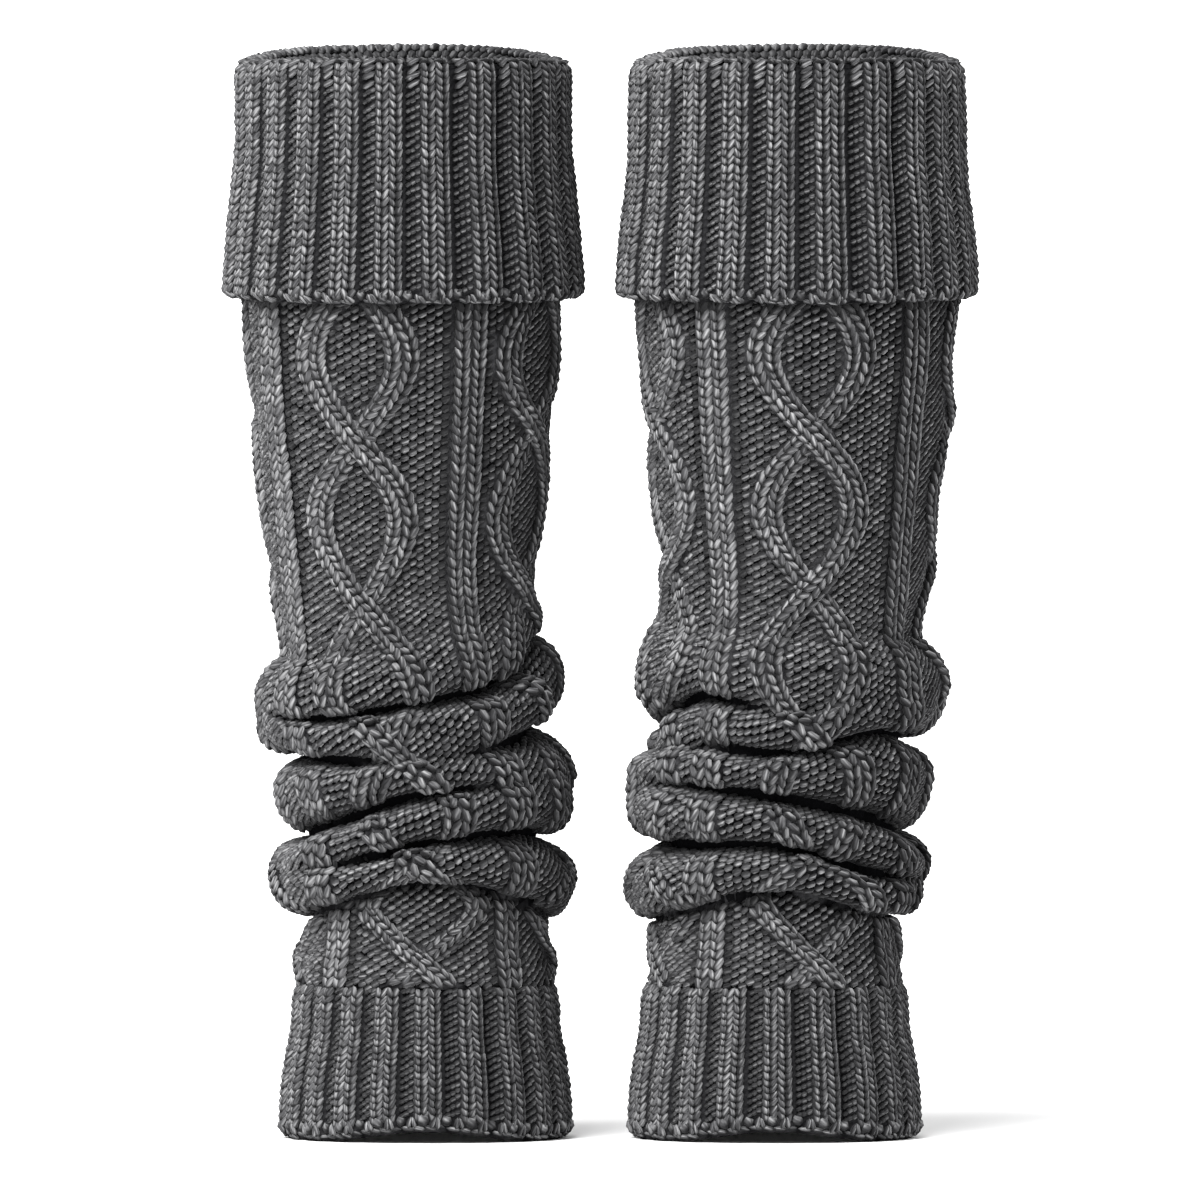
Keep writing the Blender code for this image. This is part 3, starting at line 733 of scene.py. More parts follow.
def ankle_cloth(warmer):
    """A warmer's ankle cuff, unrolled from the leg's foot to the hem."""
    top = LEG_FOOT - SEAM_GAP
    knots = [(radius * MM, min(height * MM, top)) for height, radius in reversed(ANKLE_TABLE)]
    angles = np.arange(0.0, 360.0, COLUMN_STEP)
    turned = angles + rib_wander(ANKLE_WANDER[warmer.name], angles)
    lift = HEM_LIFT * ease((HEM_LIFT_REACH - np.abs(wrapped(turned))) / HEM_LIFT_REACH)
    rings = [
        in_space(warmer.side, turned, radius, height + lift * (1.0 - height / top))
        for radius, height in smooth_path(knots)
    ]
    return Cloth(np.array(rings))


ankle_cloths = {warmer.name: ankle_cloth(warmer) for warmer in WARMERS}
print("an ankle cuff is", round(ankle_cloths["left"].length / MM), "mm long")

# %% [markdown]
# ## Where each stitch goes
#
# A knitting chart says what each column does. A rib shows four legs of knit stitches, leaning in
# turn, and then a valley of purl bumps that climb to the right. One short table holds the columns
# of one rib: where each lies in the rib's width, which way its stitches lean, their size in
# millimetres, and how much painted shade they carry, most on the purl deep in the valley. The
# chart is kept apart from the cloth, so the same one serves both cuffs.

# %% The columns of a rib
Column = namedtuple("Column", "share lean width length high shade")
RIB_COLUMNS = (
    Column(share=-0.232, lean=-22.0, width=2.6, length=5.0, high=0.0, shade=0.0),
    Column(share=-0.072, lean=25.0, width=2.4, length=5.3, high=0.0, shade=0.0),
    Column(share=0.07, lean=-25.0, width=2.4, length=5.3, high=0.0, shade=0.0),
    Column(share=0.218, lean=22.0, width=2.6, length=5.1, high=0.0, shade=0.05),
    Column(share=0.43, lean=60.0, width=1.7, length=2.7, high=0.0, shade=0.7),
    Column(share=0.53, lean=60.0, width=1.9, length=2.7, high=0.0, shade=0.5),
    Column(share=0.63, lean=58.0, width=2.0, length=2.7, high=0.0, shade=0.28),
)
VALLEY_FROM = 0.4  # shares from here on are purl
ANKLE_SHADE = (0.14, 0.12, 0.12, 0.18, 0.2, 0.22, 0.25)  # painted shade added to each column: the ankle's knit a little darker, its valleys darker still
ANKLE_COLUMNS = [
    column._replace(shade=column.shade + darker) for column, darker in zip(RIB_COLUMNS, ANKLE_SHADE)
]
knit_columns = sum(column.share < VALLEY_FROM for column in RIB_COLUMNS)
print("a rib has", knit_columns, "columns of knit and", len(RIB_COLUMNS) - knit_columns, "of purl")

# %% [markdown]
# The relief of a rib comes from a second table in the same shares of its width. Its edge by the
# valley is steep, with a slot at its foot, and that slot is the dark line which makes a rib look
# thick. The relief fades at the seam, over the fold and at the hem, where the real ribs are
# stretched flat.

# %% The relief of a rib
RIB_RELIEF = (
    (-0.33, 0.45), (-0.29, 0.6), (-0.232, 0.84), (-0.14, 0.8), (-0.07, 1.0), (0.0, 0.82),
    (0.07, 1.0), (0.13, 0.84), (0.21, 0.86), (0.27, 0.6), (0.305, 0.0), (0.345, -0.3),
    (0.38, -0.1), (0.43, 0.1), (0.53, 0.28), (0.63, 0.42),
)
CUFF_RIBS, CUFF_RIB_RAISE = 24, 2.6 * MM
ANKLE_RIBS, ANKLE_RIB_RAISE = 22, 2.3 * MM


def ribbed_relief(ribs, raise_by, lengths, shares_left):
    """How far a ribbed cuff's knit stands off its valleys. It fades at the lengths given."""
    shares, heights = np.array(RIB_RELIEF).T

    def relief(angle, down):
        form = np.interp(np.asarray(angle) / (360.0 / ribs), shares, heights, period=1.0)
        return raise_by * form * np.interp(down, lengths, shares_left)

    return relief


def fold_length(cloth):
    """Length of cloth from the seam inside the top cuff to the middle of its fold."""
    front = cloth.points[:, 0, 2]
    return cloth.grid_down[int(front.argmax())]


CUFF_LENGTH, FOLD_AT = cuff_cloths["left"].length, fold_length(cuff_cloths["left"])
HALF_FOLD = FOLD_ROUND * math.pi / 2  # from the top of the fold to either end of it
HEM_FADE = 5.0 * MM  # above a hem
cuff_relief = ribbed_relief(
    CUFF_RIBS,
    CUFF_RIB_RAISE,
    lengths=(
        0.0, FOLD_AT - 2 * HALF_FOLD, FOLD_AT - HALF_FOLD, FOLD_AT, FOLD_AT + HALF_FOLD / 2,
        FOLD_AT + HALF_FOLD, FOLD_AT + 3 * HALF_FOLD, CUFF_LENGTH - HEM_FADE, CUFF_LENGTH,
    ),
    shares_left=(0.4, 0.4, 0.1, 0.1, 0.5, 0.8, 1.0, 1.0, 0.35),
)
ANKLE_LENGTH = ankle_cloths["left"].length
ankle_relief = ribbed_relief(
    ANKLE_RIBS,
    ANKLE_RIB_RAISE,
    lengths=(0.0, HEM_FADE, ANKLE_LENGTH - HEM_FADE, ANKLE_LENGTH),
    shares_left=(0.5, 1.0, 1.0, 0.4),
)
rib_width = 360 / CUFF_RIBS * np.median(cuff_cloths["left"].stretch)
print("a rib of a top cuff, with its valley, is about", round(rib_width / MM, 1), "mm wide")

# %% [markdown]
# A stitch is kept as one row of numbers: its angle and length on the cloth, how far it leans from
# upright, its width, length and thickness, how far it stands off the relief, how much its upper end
# dips behind the stitch above, and how dark it is. Rows in arrays can be moved, joined and picked a
# whole set at a time.


# %% Rows of stitches
Stitches = namedtuple("Stitches", "angle down lean width length thick high dip shade")


def together(parts):
    """Several sets of stitches as one."""
    return Stitches(*(np.concatenate(field) for field in zip(*parts)))


def stitches(angle, down, lean, width, length, thick=0.8, high=0.0, dip=0.0, shade=0.0):
    """A set of stitches. Sizes are in millimetres, and thick is a share of the width."""
    angle, down = np.broadcast_arrays(np.asarray(angle, float), np.asarray(down, float))
    level = np.ones(angle.size)
    width = width * level
    return Stitches(
        angle.ravel(), down.ravel(), lean * level, width, length * level,
        thick=width * thick, high=high * level, dip=dip * level, shade=shade * level,
    )


def kept(rows, keep):
    """Only the stitches that are picked."""
    return Stitches(*(part[keep] for part in rows))


def jittered(rows, seed, lean=5.0, size=0.07, place=0.17):
    """The same stitches, a little uneven, as hands knit them."""
    dice = np.random.default_rng(seed)
    count = len(rows.angle)
    grow = 1.0 + size * dice.standard_normal(count).clip(-2, 2)
    return rows._replace(
        down=rows.down + place * MM * dice.standard_normal(count),
        lean=rows.lean + lean * dice.standard_normal(count),
        width=rows.width * grow,
        length=rows.length * (1.0 + size * dice.standard_normal(count).clip(-2, 2)),
        high=rows.high + 0.5 * place * dice.standard_normal(count),
    )


even = stitches([0.0, 1.0, 2.0], 0.0, lean=0.0, width=2.0, length=4.0)
print("three stitches of 4 mm, uneven:", jittered(even, 1).length.round(2), "mm long")

# %% [markdown]
# `lay` turns rows into points in space, each with the way out of the cloth and the way along the
# stitch. The slope of the relief tilts a stitch too, so that it lies on the side of a strand and
# doesn't stick out.


# %% Lay stitches on cloth
SLOPE_LIMIT = 0.8
SLOPE_TURN, SLOPE_DROP = 0.6, 0.5 * MM  # the slope is read between points this far to each side
CREASE_SINK = 2.2 * MM  # the knit is pulled in where two rolls press on each other


def crease_sink(cloth, angle, down):
    """How far the knit is pulled in."""
    return CREASE_SINK * cloth.read(cloth.fields["crease"], angle, down)


def lay(cloth, relief, rows):
    """Centre, outward way, long way and size of each stitch, in space."""
    out = unit(cloth.read(cloth.out, rows.angle, rows.down))
    down = unit(cloth.read(cloth.down, rows.angle, rows.down))
    around = np.cross(out, down)
    stretch = cloth.read(cloth.stretch, rows.angle, rows.down)
    turn, drop = SLOPE_TURN, SLOPE_DROP
    climb_round = relief(rows.angle + turn, rows.down) - relief(rows.angle - turn, rows.down)
    climb_round = np.clip(climb_round / (2 * turn * stretch), -SLOPE_LIMIT, SLOPE_LIMIT)[:, None]
    climb_down = relief(rows.angle, rows.down + drop) - relief(rows.angle, rows.down - drop)
    climb_down = np.clip(climb_down / (2 * drop), -SLOPE_LIMIT, SLOPE_LIMIT)[:, None]
    facing = unit(out - climb_round * around - climb_down * down)
    lean = np.radians(rows.lean)[:, None]
    along = np.sin(lean) * around - np.cos(lean) * down
    along = unit(along - facing * (along * facing).sum(axis=1, keepdims=True))
    dip = np.radians(rows.dip)[:, None]
    high = relief(rows.angle, rows.down) + rows.high * MM
    high -= crease_sink(cloth, rows.angle, rows.down)
    centre = cloth.read(cloth.points, rows.angle, rows.down) + out * high[:, None]
    size = np.stack([rows.thick, rows.width, rows.length], axis=1) * MM
    return centre, facing, np.cos(dip) * along - np.sin(dip) * facing, size


one = stitches(0.0, (FOLD_AT + CUFF_LENGTH) / 2, lean=0.0, width=2.0, length=4.0)
faces_to = lay(cuff_cloths["left"], cuff_relief, one)[1][0]
print("a stitch on the front of the cuff faces", faces_to.round(1))

# %% [markdown]
# The knit of a leg is rows of V shapes, each made of two slanting legs of yarn. The legs of a cable
# follow its strand, so they are spaced by length along the strand and lean from its direction, not
# from upright. Where a strand passes behind the other one, its hidden stitches are left out.

# %% Stitches of a strand
BODY_ROW = 3.45 * MM
LEG_COLUMN = 3.55  # degrees to a column of knit legs
KnitLeg = namedtuple("KnitLeg", "place lean width length")
WALE_PAIR = (  # place in columns from the middle, lean in degrees, sizes in millimetres
    KnitLeg(place=-1.42, lean=-19.0, width=2.9, length=6.0),
    KnitLeg(place=-0.52, lean=21.0, width=3.1, length=6.1),
    KnitLeg(place=0.54, lean=-19.0, width=2.9, length=6.0),
    KnitLeg(place=1.44, lean=21.0, width=3.1, length=6.1),
)
KNIT_THICK, KNIT_HIGH = 0.85, -0.5  # a share of the width, and millimetres off the relief
KNIT_DIP = 14.0  # degrees that a stitch's upper end dips behind the one above
SLANT_NARROWS = 0.3  # the higher this power, the narrower the stitches of a slanting strand
UNDER_CUFF = 4.5 * MM  # the leg's first rows are hidden under the turned-down cuff
STRAND_END = 1.3 * MM  # above the ankle's seam
STRAND_STEP = 0.25 * MM  # between the points where a strand is measured
HIDDEN_WITHIN = 5.6  # degrees from the middle of the strand in front


def strand_rows(warmer, cloth, panel, strand):
    """Lengths of cloth that are even steps apart along a strand, however much it slants."""
    fine = np.arange(UNDER_CUFF, cloth.length, STRAND_STEP)
    off = strand_swing(warmer, cloth, fine, strand)
    middle = cable_middle(warmer, cloth, panel, fine)
    aside = np.diff(off) * cloth.read(cloth.stretch, middle + off, fine)[1:]
    gone = np.concatenate([[0.0], np.cumsum(np.hypot(np.diff(fine), aside))])
    return np.interp(np.arange(0.0, gone[-1], BODY_ROW), gone, fine)


def strand_stitches(warmer, cloth, panel, strand):
    """The knit of one strand of a cable, without what the other strand hides."""
    down = strand_rows(warmer, cloth, panel, strand)
    middle = cable_middle(warmer, cloth, panel, down)
    off = strand_swing(warmer, cloth, down, strand)
    stretch = cloth.read(cloth.stretch, middle + off, down)
    above, below = down - 0.5 * MM, down + 0.5 * MM
    drift = strand_swing(warmer, cloth, below, strand) - strand_swing(warmer, cloth, above, strand)
    slant = np.arctan(drift * stretch / MM)
    parts = []
    for leg in WALE_PAIR:
        aside = leg.place * LEG_COLUMN * stretch * np.cos(slant)
        angle = middle + off + aside * np.cos(slant) / stretch
        lean = leg.lean - np.degrees(slant)
        narrow = leg.width * np.cos(slant) ** SLANT_NARROWS
        at = down - aside * np.sin(slant)
        parts.append(stitches(angle, at, lean, narrow, leg.length, KNIT_THICK, KNIT_HIGH, KNIT_DIP))
    rows = together(parts)
    turns = half_turns(warmer, cloth, rows.down)
    other = cable_middle(warmer, cloth, panel, rows.down)
    other = other + strand_swing(warmer, cloth, rows.down, -strand)
    behind = front_strand(warmer, turns) != strand
    covered = behind & (np.abs(wrapped(rows.angle - other)) < HIDDEN_WITHIN)
    return kept(rows, ~covered & (rows.down > 0) & (rows.down < cloth.length - STRAND_END))


one_strand = strand_stitches(WARMERS[0], leg_cloths["left"], 0, 1)
print("a strand has", len(one_strand.angle), "legs of knit")

# %% [markdown]
# A straight rib is the same pair of wales with nothing to swing round, so its rows are simply even.


# %% Stitches of a straight rib
def straight_rib_stitches(warmer, cloth, panel):
    """The knit of the straight rib after a panel."""
    down = np.arange(UNDER_CUFF, cloth.length, BODY_ROW)
    middle = rib_angle(warmer, cloth, panel, down)
    return together([
        stitches(
            middle + leg.place * LEG_COLUMN, down, leg.lean, leg.width, leg.length,
            KNIT_THICK, KNIT_HIGH, KNIT_DIP,
        )
        for leg in WALE_PAIR
    ])


one_rib = straight_rib_stitches(WARMERS[0], leg_cloths["left"], 0)
print("a straight rib has", len(one_rib.angle), "legs of knit")

# %% [markdown]
# The purled ground fills what is left with rows of small bumps that climb to the right. Yarn that
# lies low gets little light, and here it is darker beside the raised strands and ribs and under the
# turned-down cuff. A renderer finds such shadows by itself between solid things, but the bumps
# stand for loops that reach further down than they do, so each stitch carries painted shade of its
# own.

# %% Stitches of the purled ground
PURL_ROW = 3.0 * MM
PURL_COLUMNS = 22  # from rib to rib
PURL_FROM_RIB = 9.4  # degrees, from a rib's middle to the first column
PURL_CLIMB = 0.55  # rows up for each column to the right
PURL_OFFSET = 0.3  # rows that each panel starts lower than the one before
PURL_SIZE = {"lean": 61.0, "width": 2.6, "length": 4.1, "thick": 0.85}
PURL_END = 0.2  # rows that are left out above the foot
PURL_SHADE = 0.1  # painted shade on all purl of the plain leg
KEEP_OFF_STRAND = 6.4  # degrees from a strand's middle
BESIDE_SHADE, BESIDE_REACH = 0.7, 3.4  # painted shade beside a strand or a rib, reaching so many degrees
ROLLS_FROM, ROLLS_TO = 120.0 * MM, 30.0 * MM  # of cloth, from the leg's top and from its foot
ROLLS_FADE = 12.0 * MM
# painted shadow of the cuff's hem on the leg: how dark, and from which length down over how much
HEM_SHADOW, HEM_SHADOW_FROM, HEM_SHADOW_OVER = 0.9, 7.6 * MM, 4.4 * MM


def in_rolls(cloth, down):
    """1 in the rolls, and 0 on the plain leg above them and below."""
    start, end = ROLLS_FROM, cloth.length - ROLLS_TO
    return np.interp(down, (start - ROLLS_FADE, start, end - ROLLS_FADE, end), (0.0, 1.0, 1.0, 0.0))


def with_hem_shadow(rows):
    """The same stitches, with a painted shadow where the turned-down cuff hangs over them."""
    under = HEM_SHADOW * (1.0 - ease((rows.down - HEM_SHADOW_FROM) / HEM_SHADOW_OVER))
    return rows._replace(shade=np.maximum(rows.shade, under))


def purl_stitches(warmer, cloth):
    """Bumps from one straight rib's edge to the next one's, without those under a strand."""
    column = np.arange(PURL_COLUMNS)
    row = np.arange(UNDER_CUFF / PURL_ROW, cloth.length / PURL_ROW - PURL_END)[:, None]
    parts = []
    for panel in range(PANELS):
        down = (row + (PURL_OFFSET * panel - PURL_CLIMB * column) % 1.0) * PURL_ROW
        left = rib_angle(warmer, cloth, panel - 1, down) + PURL_FROM_RIB
        right = rib_angle(warmer, cloth, panel, down) - PURL_FROM_RIB
        angle = left + (right - left) * column / (PURL_COLUMNS - 1)
        rows = stitches(angle, down, **PURL_SIZE)
        off = rows.angle - cable_middle(warmer, cloth, panel, rows.down)
        beside = np.minimum(angle - left, right - angle).ravel()
        for strand in (1, -1):
            from_strand = np.abs(off - strand_swing(warmer, cloth, rows.down, strand))
            beside = np.minimum(beside, from_strand - KEEP_OFF_STRAND)
        # painted shade, darker beside strands and ribs, and none in the rolls
        shade = PURL_SHADE + BESIDE_SHADE * ease(1.0 - beside / BESIDE_REACH)
        rows = rows._replace(shade=shade * (1.0 - in_rolls(cloth, rows.down)))
        parts.append(kept(rows, (beside > -END_MARGIN) & (rows.down < cloth.length)))
    return with_hem_shadow(together(parts))


bumps = purl_stitches(WARMERS[0], leg_cloths["left"])
print("the ground of the left leg has", len(bumps.angle), "bumps")

# %% [markdown]
# The cuffs repeat the rib table round and round. Where the cuff folds over the top, the purl bumps
# of the valleys are drawn out into long bars. Inside, stitches are made only as far down as they
# can be seen.

# %% Stitches of a ribbed cuff
CUFF_ROW, ANKLE_ROW = 2.95 * MM, 2.65 * MM
CUFF_DIP, CUFF_THICK = 18.0, 0.85
KNIT_SUNK, PURL_SUNK = 0.45, 0.1  # millimetres under the relief
VALLEY_CLIMB = 9.5 * MM  # up for a whole rib's width to the right
FOLD_ROWS, FOLD_ROW = 4, 2.1 * MM  # the outside of the fold is stretched, so its rows start closer
FOLD_BAR = Column(share=0.53, lean=56.0, width=2.2, length=6.2, high=0.3, shade=0.05)
BARS_TO = 12.0 * MM  # down from the top of the fold
INNER_SEEN, KNOT_BAND = 38.0 * MM, 7.5 * MM  # inside the fold: how far stitches reach, and the knots
INNER_WIDER = 1.1
ANKLE_FIRST = 1.0 * MM  # from the ankle's seam to its first row
HEM_BAND = 5.0 * MM  # left free for the hem


def rib_stitches(ribs, column, down, dip, wider=1.0):
    """One column of the rib table, on every rib and at every row."""
    angle = (np.arange(ribs) + column.share) * 360.0 / ribs
    purl = column.share > VALLEY_FROM
    shift = -VALLEY_CLIMB * (column.share - VALLEY_FROM) if purl else 0.0
    lift = column.high - (PURL_SUNK if purl else KNIT_SUNK)
    angle, down = np.broadcast_arrays(angle, down[:, None] + shift)
    return stitches(
        angle, down, column.lean, column.width * wider, column.length,
        thick=CUFF_THICK, high=lift, dip=0.0 if purl else dip, shade=column.shade,
    )


def outer_cuff_stitches(cloth):
    """Everything from the top of the fold down to the hem."""
    first = FOLD_AT + FOLD_ROWS * FOLD_ROW
    on_top = np.arange(FOLD_AT, first, FOLD_ROW)
    down = np.concatenate([on_top, np.arange(first, cloth.length - HEM_BAND, CUFF_ROW)])
    on_fold = down < FOLD_AT + BARS_TO
    knit_part, purl_part = RIB_COLUMNS[:knit_columns], RIB_COLUMNS[knit_columns:]
    parts = [rib_stitches(CUFF_RIBS, column, down, CUFF_DIP) for column in knit_part]
    parts += [rib_stitches(CUFF_RIBS, column, down[~on_fold], CUFF_DIP) for column in purl_part]
    parts.append(rib_stitches(CUFF_RIBS, FOLD_BAR, down[on_fold], CUFF_DIP))
    return together(parts)


def inner_cuff_stitches():
    """The part of the inner ply that is seen from above."""
    down = np.arange(FOLD_AT - INNER_SEEN, FOLD_AT - KNOT_BAND, CUFF_ROW)
    return together(
        [rib_stitches(CUFF_RIBS, column, down, CUFF_DIP, INNER_WIDER) for column in RIB_COLUMNS]
    )


def ankle_rib_stitches(cloth):
    """The ribs of an ankle cuff, from its seam down to its hem."""
    down = np.arange(ANKLE_FIRST, cloth.length - HEM_BAND, ANKLE_ROW)
    return together([rib_stitches(ANKLE_RIBS, column, down, CUFF_DIP) for column in ANKLE_COLUMNS])


print("a cuff's ribs have", len(outer_cuff_stitches(cuff_cloths["left"]).angle), "stitches outside")

# %% [markdown]
# A bound-off edge is a chain along the hem. A thin cord lies on the very edge, round bumps of yarn
# sit over it, and every few millimetres a clasp of two legs, which meet at the top, leans over
# both. The rim is simpler: inside the fold the knit is seen end on, as two rows of round knots.
# Each part has its size in one row, in millimetres, and its place down the cloth from the chain's
# middle or from the fold's top.

# %% Stitches of the hems and the rim
# the shade field is painted shade: bumps and the knots inside the fold are darker, the lower knots
# most
HemPart = namedtuple("HemPart", "below lean width length thick high dip shade")
CORD = HemPart(0.7, -82.0, width=1.8, length=5.4, thick=0.9, high=-0.6, dip=0.0, shade=0.0)
BUMP = HemPart(-2.3, -75.0, width=3.9, length=4.3, thick=0.85, high=-0.2, dip=0.0, shade=0.3)
CLASP = HemPart(-1.5, -12.0, width=1.9, length=5.0, thick=0.9, high=0.4, dip=-5.0, shade=0.0)
UPPER_KNOT = HemPart(-1.7, 3.0, width=3.7, length=4.8, thick=0.85, high=0.0, dip=0.0, shade=0.3)
LOWER_KNOT = HemPart(-5.6, -8.0, width=3.3, length=4.2, thick=0.8, high=-0.9, dip=0.0, shade=0.75)
Hem = namedtuple("Hem", "ribs tilt sunk edge_in")  # edge_in: from the edge to the chain's middle
CUFF_HEM = Hem(ribs=CUFF_RIBS, tilt=-22.0, sunk=0.5, edge_in=2.0 * MM)
ANKLE_HEM = Hem(ribs=ANKLE_RIBS, tilt=0.0, sunk=0.0, edge_in=2.6 * MM)
CORD_TO_A_RIB, CLASPS_TO_A_RIB = 4, 2
CORD_START, CLASP_START = 0.25, 0.3  # where the first one is, as a share of a step
CLASP_HALF = 0.75  # degrees from a clasp's middle to each of its legs
RIM_KNOTS = 96


def hem_part(part, angle, level):
    """Copies of one part side by side at the angles."""
    down = np.full(angle.size, level) + part.below * MM
    return stitches(
        angle, down, part.lean, part.width, part.length, part.thick, part.high, part.dip, part.shade
    )


def hem_stitches(cloth, hem):
    """A hem's cord, its bumps and its clasps."""
    level = cloth.length - hem.edge_in
    cord = (np.arange(hem.ribs * CORD_TO_A_RIB) + CORD_START) * 360.0 / (hem.ribs * CORD_TO_A_RIB)
    step = 360.0 / (hem.ribs * CLASPS_TO_A_RIB)
    clasp = (np.arange(hem.ribs * CLASPS_TO_A_RIB) + CLASP_START) * step
    parts = [hem_part(CORD, cord, level), hem_part(BUMP, clasp + 0.5 * step, level)]
    for side in (-1, 1):
        leg = CLASP._replace(lean=hem.tilt + side * CLASP.lean)
        parts.append(hem_part(leg, clasp + side * CLASP_HALF, level))
    rows = together(parts)
    return rows._replace(high=rows.high - hem.sunk)


def rim_knots():
    """Two rows of round knots on the inside of the fold."""
    angle = np.arange(RIM_KNOTS) * 360.0 / RIM_KNOTS
    upper = hem_part(UPPER_KNOT, angle, FOLD_AT)
    return together([upper, hem_part(LOWER_KNOT, angle + 180.0 / RIM_KNOTS, FOLD_AT)])


print("a cuff's hem has", len(hem_stitches(cuff_cloths["left"], CUFF_HEM).angle), "stitches")

# %% [markdown]
# ## Spindles of yarn, by Geometry Nodes
#
# The same small shape is needed tens of thousands of times, so a Geometry Nodes tree puts it on
# points. It starts from a small sphere, stores a map on it that the yarn's finish reads, puts one
# on each point, turned by the point's two directions and sized by its attribute, gives each its own
# tone, and makes the whole a real mesh. Copying a mesh in Python would do the same with more code
# and more waiting.


# %% The tree that grows stitches
def stitch_tree():
    """A tree that puts a spindle of yarn on every point, by the attributes out, along and size."""
    tree = bpy.data.node_groups.new("stitches_on_cloth", "GeometryNodeTree")
    for name, kind in (
        ("Geometry", "NodeSocketGeometry"), ("Sides", "NodeSocketInt"), ("Rings", "NodeSocketInt"),
        ("Fullness", "NodeSocketFloat"), ("Seed", "NodeSocketInt"), ("Yarn", "NodeSocketMaterial"),
    ):
        tree.interface.new_socket(name, in_out="INPUT", socket_type=kind)
    tree.interface.new_socket("Geometry", in_out="OUTPUT", socket_type="NodeSocketGeometry")

    def add(kind, settings=(), **sockets):
        node = tree.nodes.new(kind)
        for name, value in dict(settings).items():
            setattr(node, name, value)
        for name, value in sockets.items():
            socket = next(s for s in node.inputs if s.name == name.replace("_", " ") and s.enabled)
            if isinstance(value, bpy.types.NodeSocket):
                tree.links.new(value, socket)
            else:
                socket.default_value = value
        return node

    def way(name):
        vector = {"data_type": "FLOAT_VECTOR"}
        return add("GeometryNodeInputNamedAttribute", vector, Name=name).outputs[0]

    given = tree.nodes.new("NodeGroupInput").outputs
    sides, rings = given["Sides"], given["Rings"]
    ball = add("GeometryNodeMeshUVSphere", Segments=sides, Rings=rings, Radius=0.5)
    mapped = add(
        "GeometryNodeStoreNamedAttribute", {"data_type": "FLOAT2", "domain": "CORNER"},
        Geometry=ball.outputs["Mesh"], Name="stitch", Value=ball.outputs["UV Map"],
    )
    widen = add("ShaderNodeCombineXYZ", X=given["Fullness"], Y=given["Fullness"], Z=1.0)
    place = add("GeometryNodeInputPosition")
    wide = tree.nodes.new("ShaderNodeVectorMath")
    wide.operation = "MULTIPLY"
    tree.links.new(place.outputs[0], wide.inputs[0])
    tree.links.new(widen.outputs[0], wide.inputs[1])
    spindle = add("GeometryNodeSetPosition", Geometry=mapped.outputs[0], Position=wide.outputs[0])
    upright = add("FunctionNodeAlignRotationToVector", {"axis": "Z"}, Vector=way("along"))
    turned = add(
        "FunctionNodeAlignRotationToVector", {"axis": "X", "pivot_axis": "Z"},
        Rotation=upright.outputs[0], Vector=way("out"),
    )
    grown = add(
        "GeometryNodeInstanceOnPoints", Points=given["Geometry"], Instance=spindle.outputs[0],
        Rotation=turned.outputs[0], Scale=way("size"),
    )
    chance = add("FunctionNodeRandomValue", {"data_type": "FLOAT"}, Seed=given["Seed"])
    toned = add(
        "GeometryNodeStoreNamedAttribute", {"data_type": "FLOAT", "domain": "INSTANCE"},
        Geometry=grown.outputs[0], Name="tone", Value=next(s for s in chance.outputs if s.enabled),
    )
    real = add("GeometryNodeRealizeInstances", Geometry=toned.outputs[0])
    smooth = add("GeometryNodeSetShadeSmooth", Geometry=real.outputs[0], Shade_Smooth=True)
    dyed = add("GeometryNodeSetMaterial", Geometry=smooth.outputs[0], Material=given["Yarn"])
    tree.links.new(dyed.outputs[0], tree.nodes.new("NodeGroupOutput").inputs[0])
    return tree


STITCH_TREE = stitch_tree()
print("the stitch tree has", len(STITCH_TREE.nodes), "nodes")

# %% [markdown]
# ## Shader maths that reads like maths
#
# A material is a tree of nodes too, and adding each Math node by hand hides what it works out. One
# small class wraps a socket, so that an expression such as `1 - ply * 0.4` adds the nodes it needs.
# Its `node` method makes any other node: its type, then its settings, then what goes into its
# sockets.


# %% A socket that can be added and multiplied
class Shade:
    """A socket of a material: sums and products of it add their nodes."""

    def __init__(self, tree, socket=None):
        self.tree, self.socket = tree, socket

    def node(self, kind, settings=(), sockets=(), output=0):
        """Any node: settings first, then values or links of its sockets."""
        made = self.tree.nodes.new(kind)
        for name, value in dict(settings).items():
            setattr(made, name, value)
        for name, value in dict(sockets).items():
            if isinstance(value, Shade):
                self.tree.links.new(value.socket, made.inputs[name])
            else:
                made.inputs[name].default_value = value
        return Shade(self.tree, made.outputs[output])

    def maths(self, operation, *values):
        sockets = dict(enumerate((self, *values)))
        return self.node("ShaderNodeMath", {"operation": operation}, sockets)

    def __add__(self, other):
        return self.maths("ADD", other)

    def __mul__(self, other):
        return self.maths("MULTIPLY", other)

    def __sub__(self, other):
        return self.maths("SUBTRACT", other)

    def __rsub__(self, other):
        return self * -1.0 + other

    __radd__, __rmul__ = __add__, __mul__

    def between(self, low, high):
        """0 at low, 1 at high and smooth in between."""
        sockets = {0: self, 1: low, 2: high}
        return self.node("ShaderNodeMapRange", {"interpolation_type": "SMOOTHSTEP"}, sockets)

    def mix(self, first, second):
        """first where this is 0 and second where it is 1, for colours."""
        sockets = {0: self, 6: first, 7: second}
        return self.node("ShaderNodeMix", {"data_type": "RGBA"}, sockets, output=2)


sums = [name for name in vars(Shade) if name.endswith(("add__", "mul__", "sub__"))]
print("maths on a socket:", ", ".join(sorted(sums)))

# %% [markdown]
# ## The yarn
#
# The yarn is a heather: three plies of dark and pale grey fibres, twisted. Seen close, a stitch
# shows the grooves between its plies and fine streaks that follow them. Both are read from the map
# that each stitch carries, so they follow every stitch, whichever way it leans. A pattern in space
# would run straight through them all. A stitch also has its own tone, and a soft sheen stands for
# the nap.

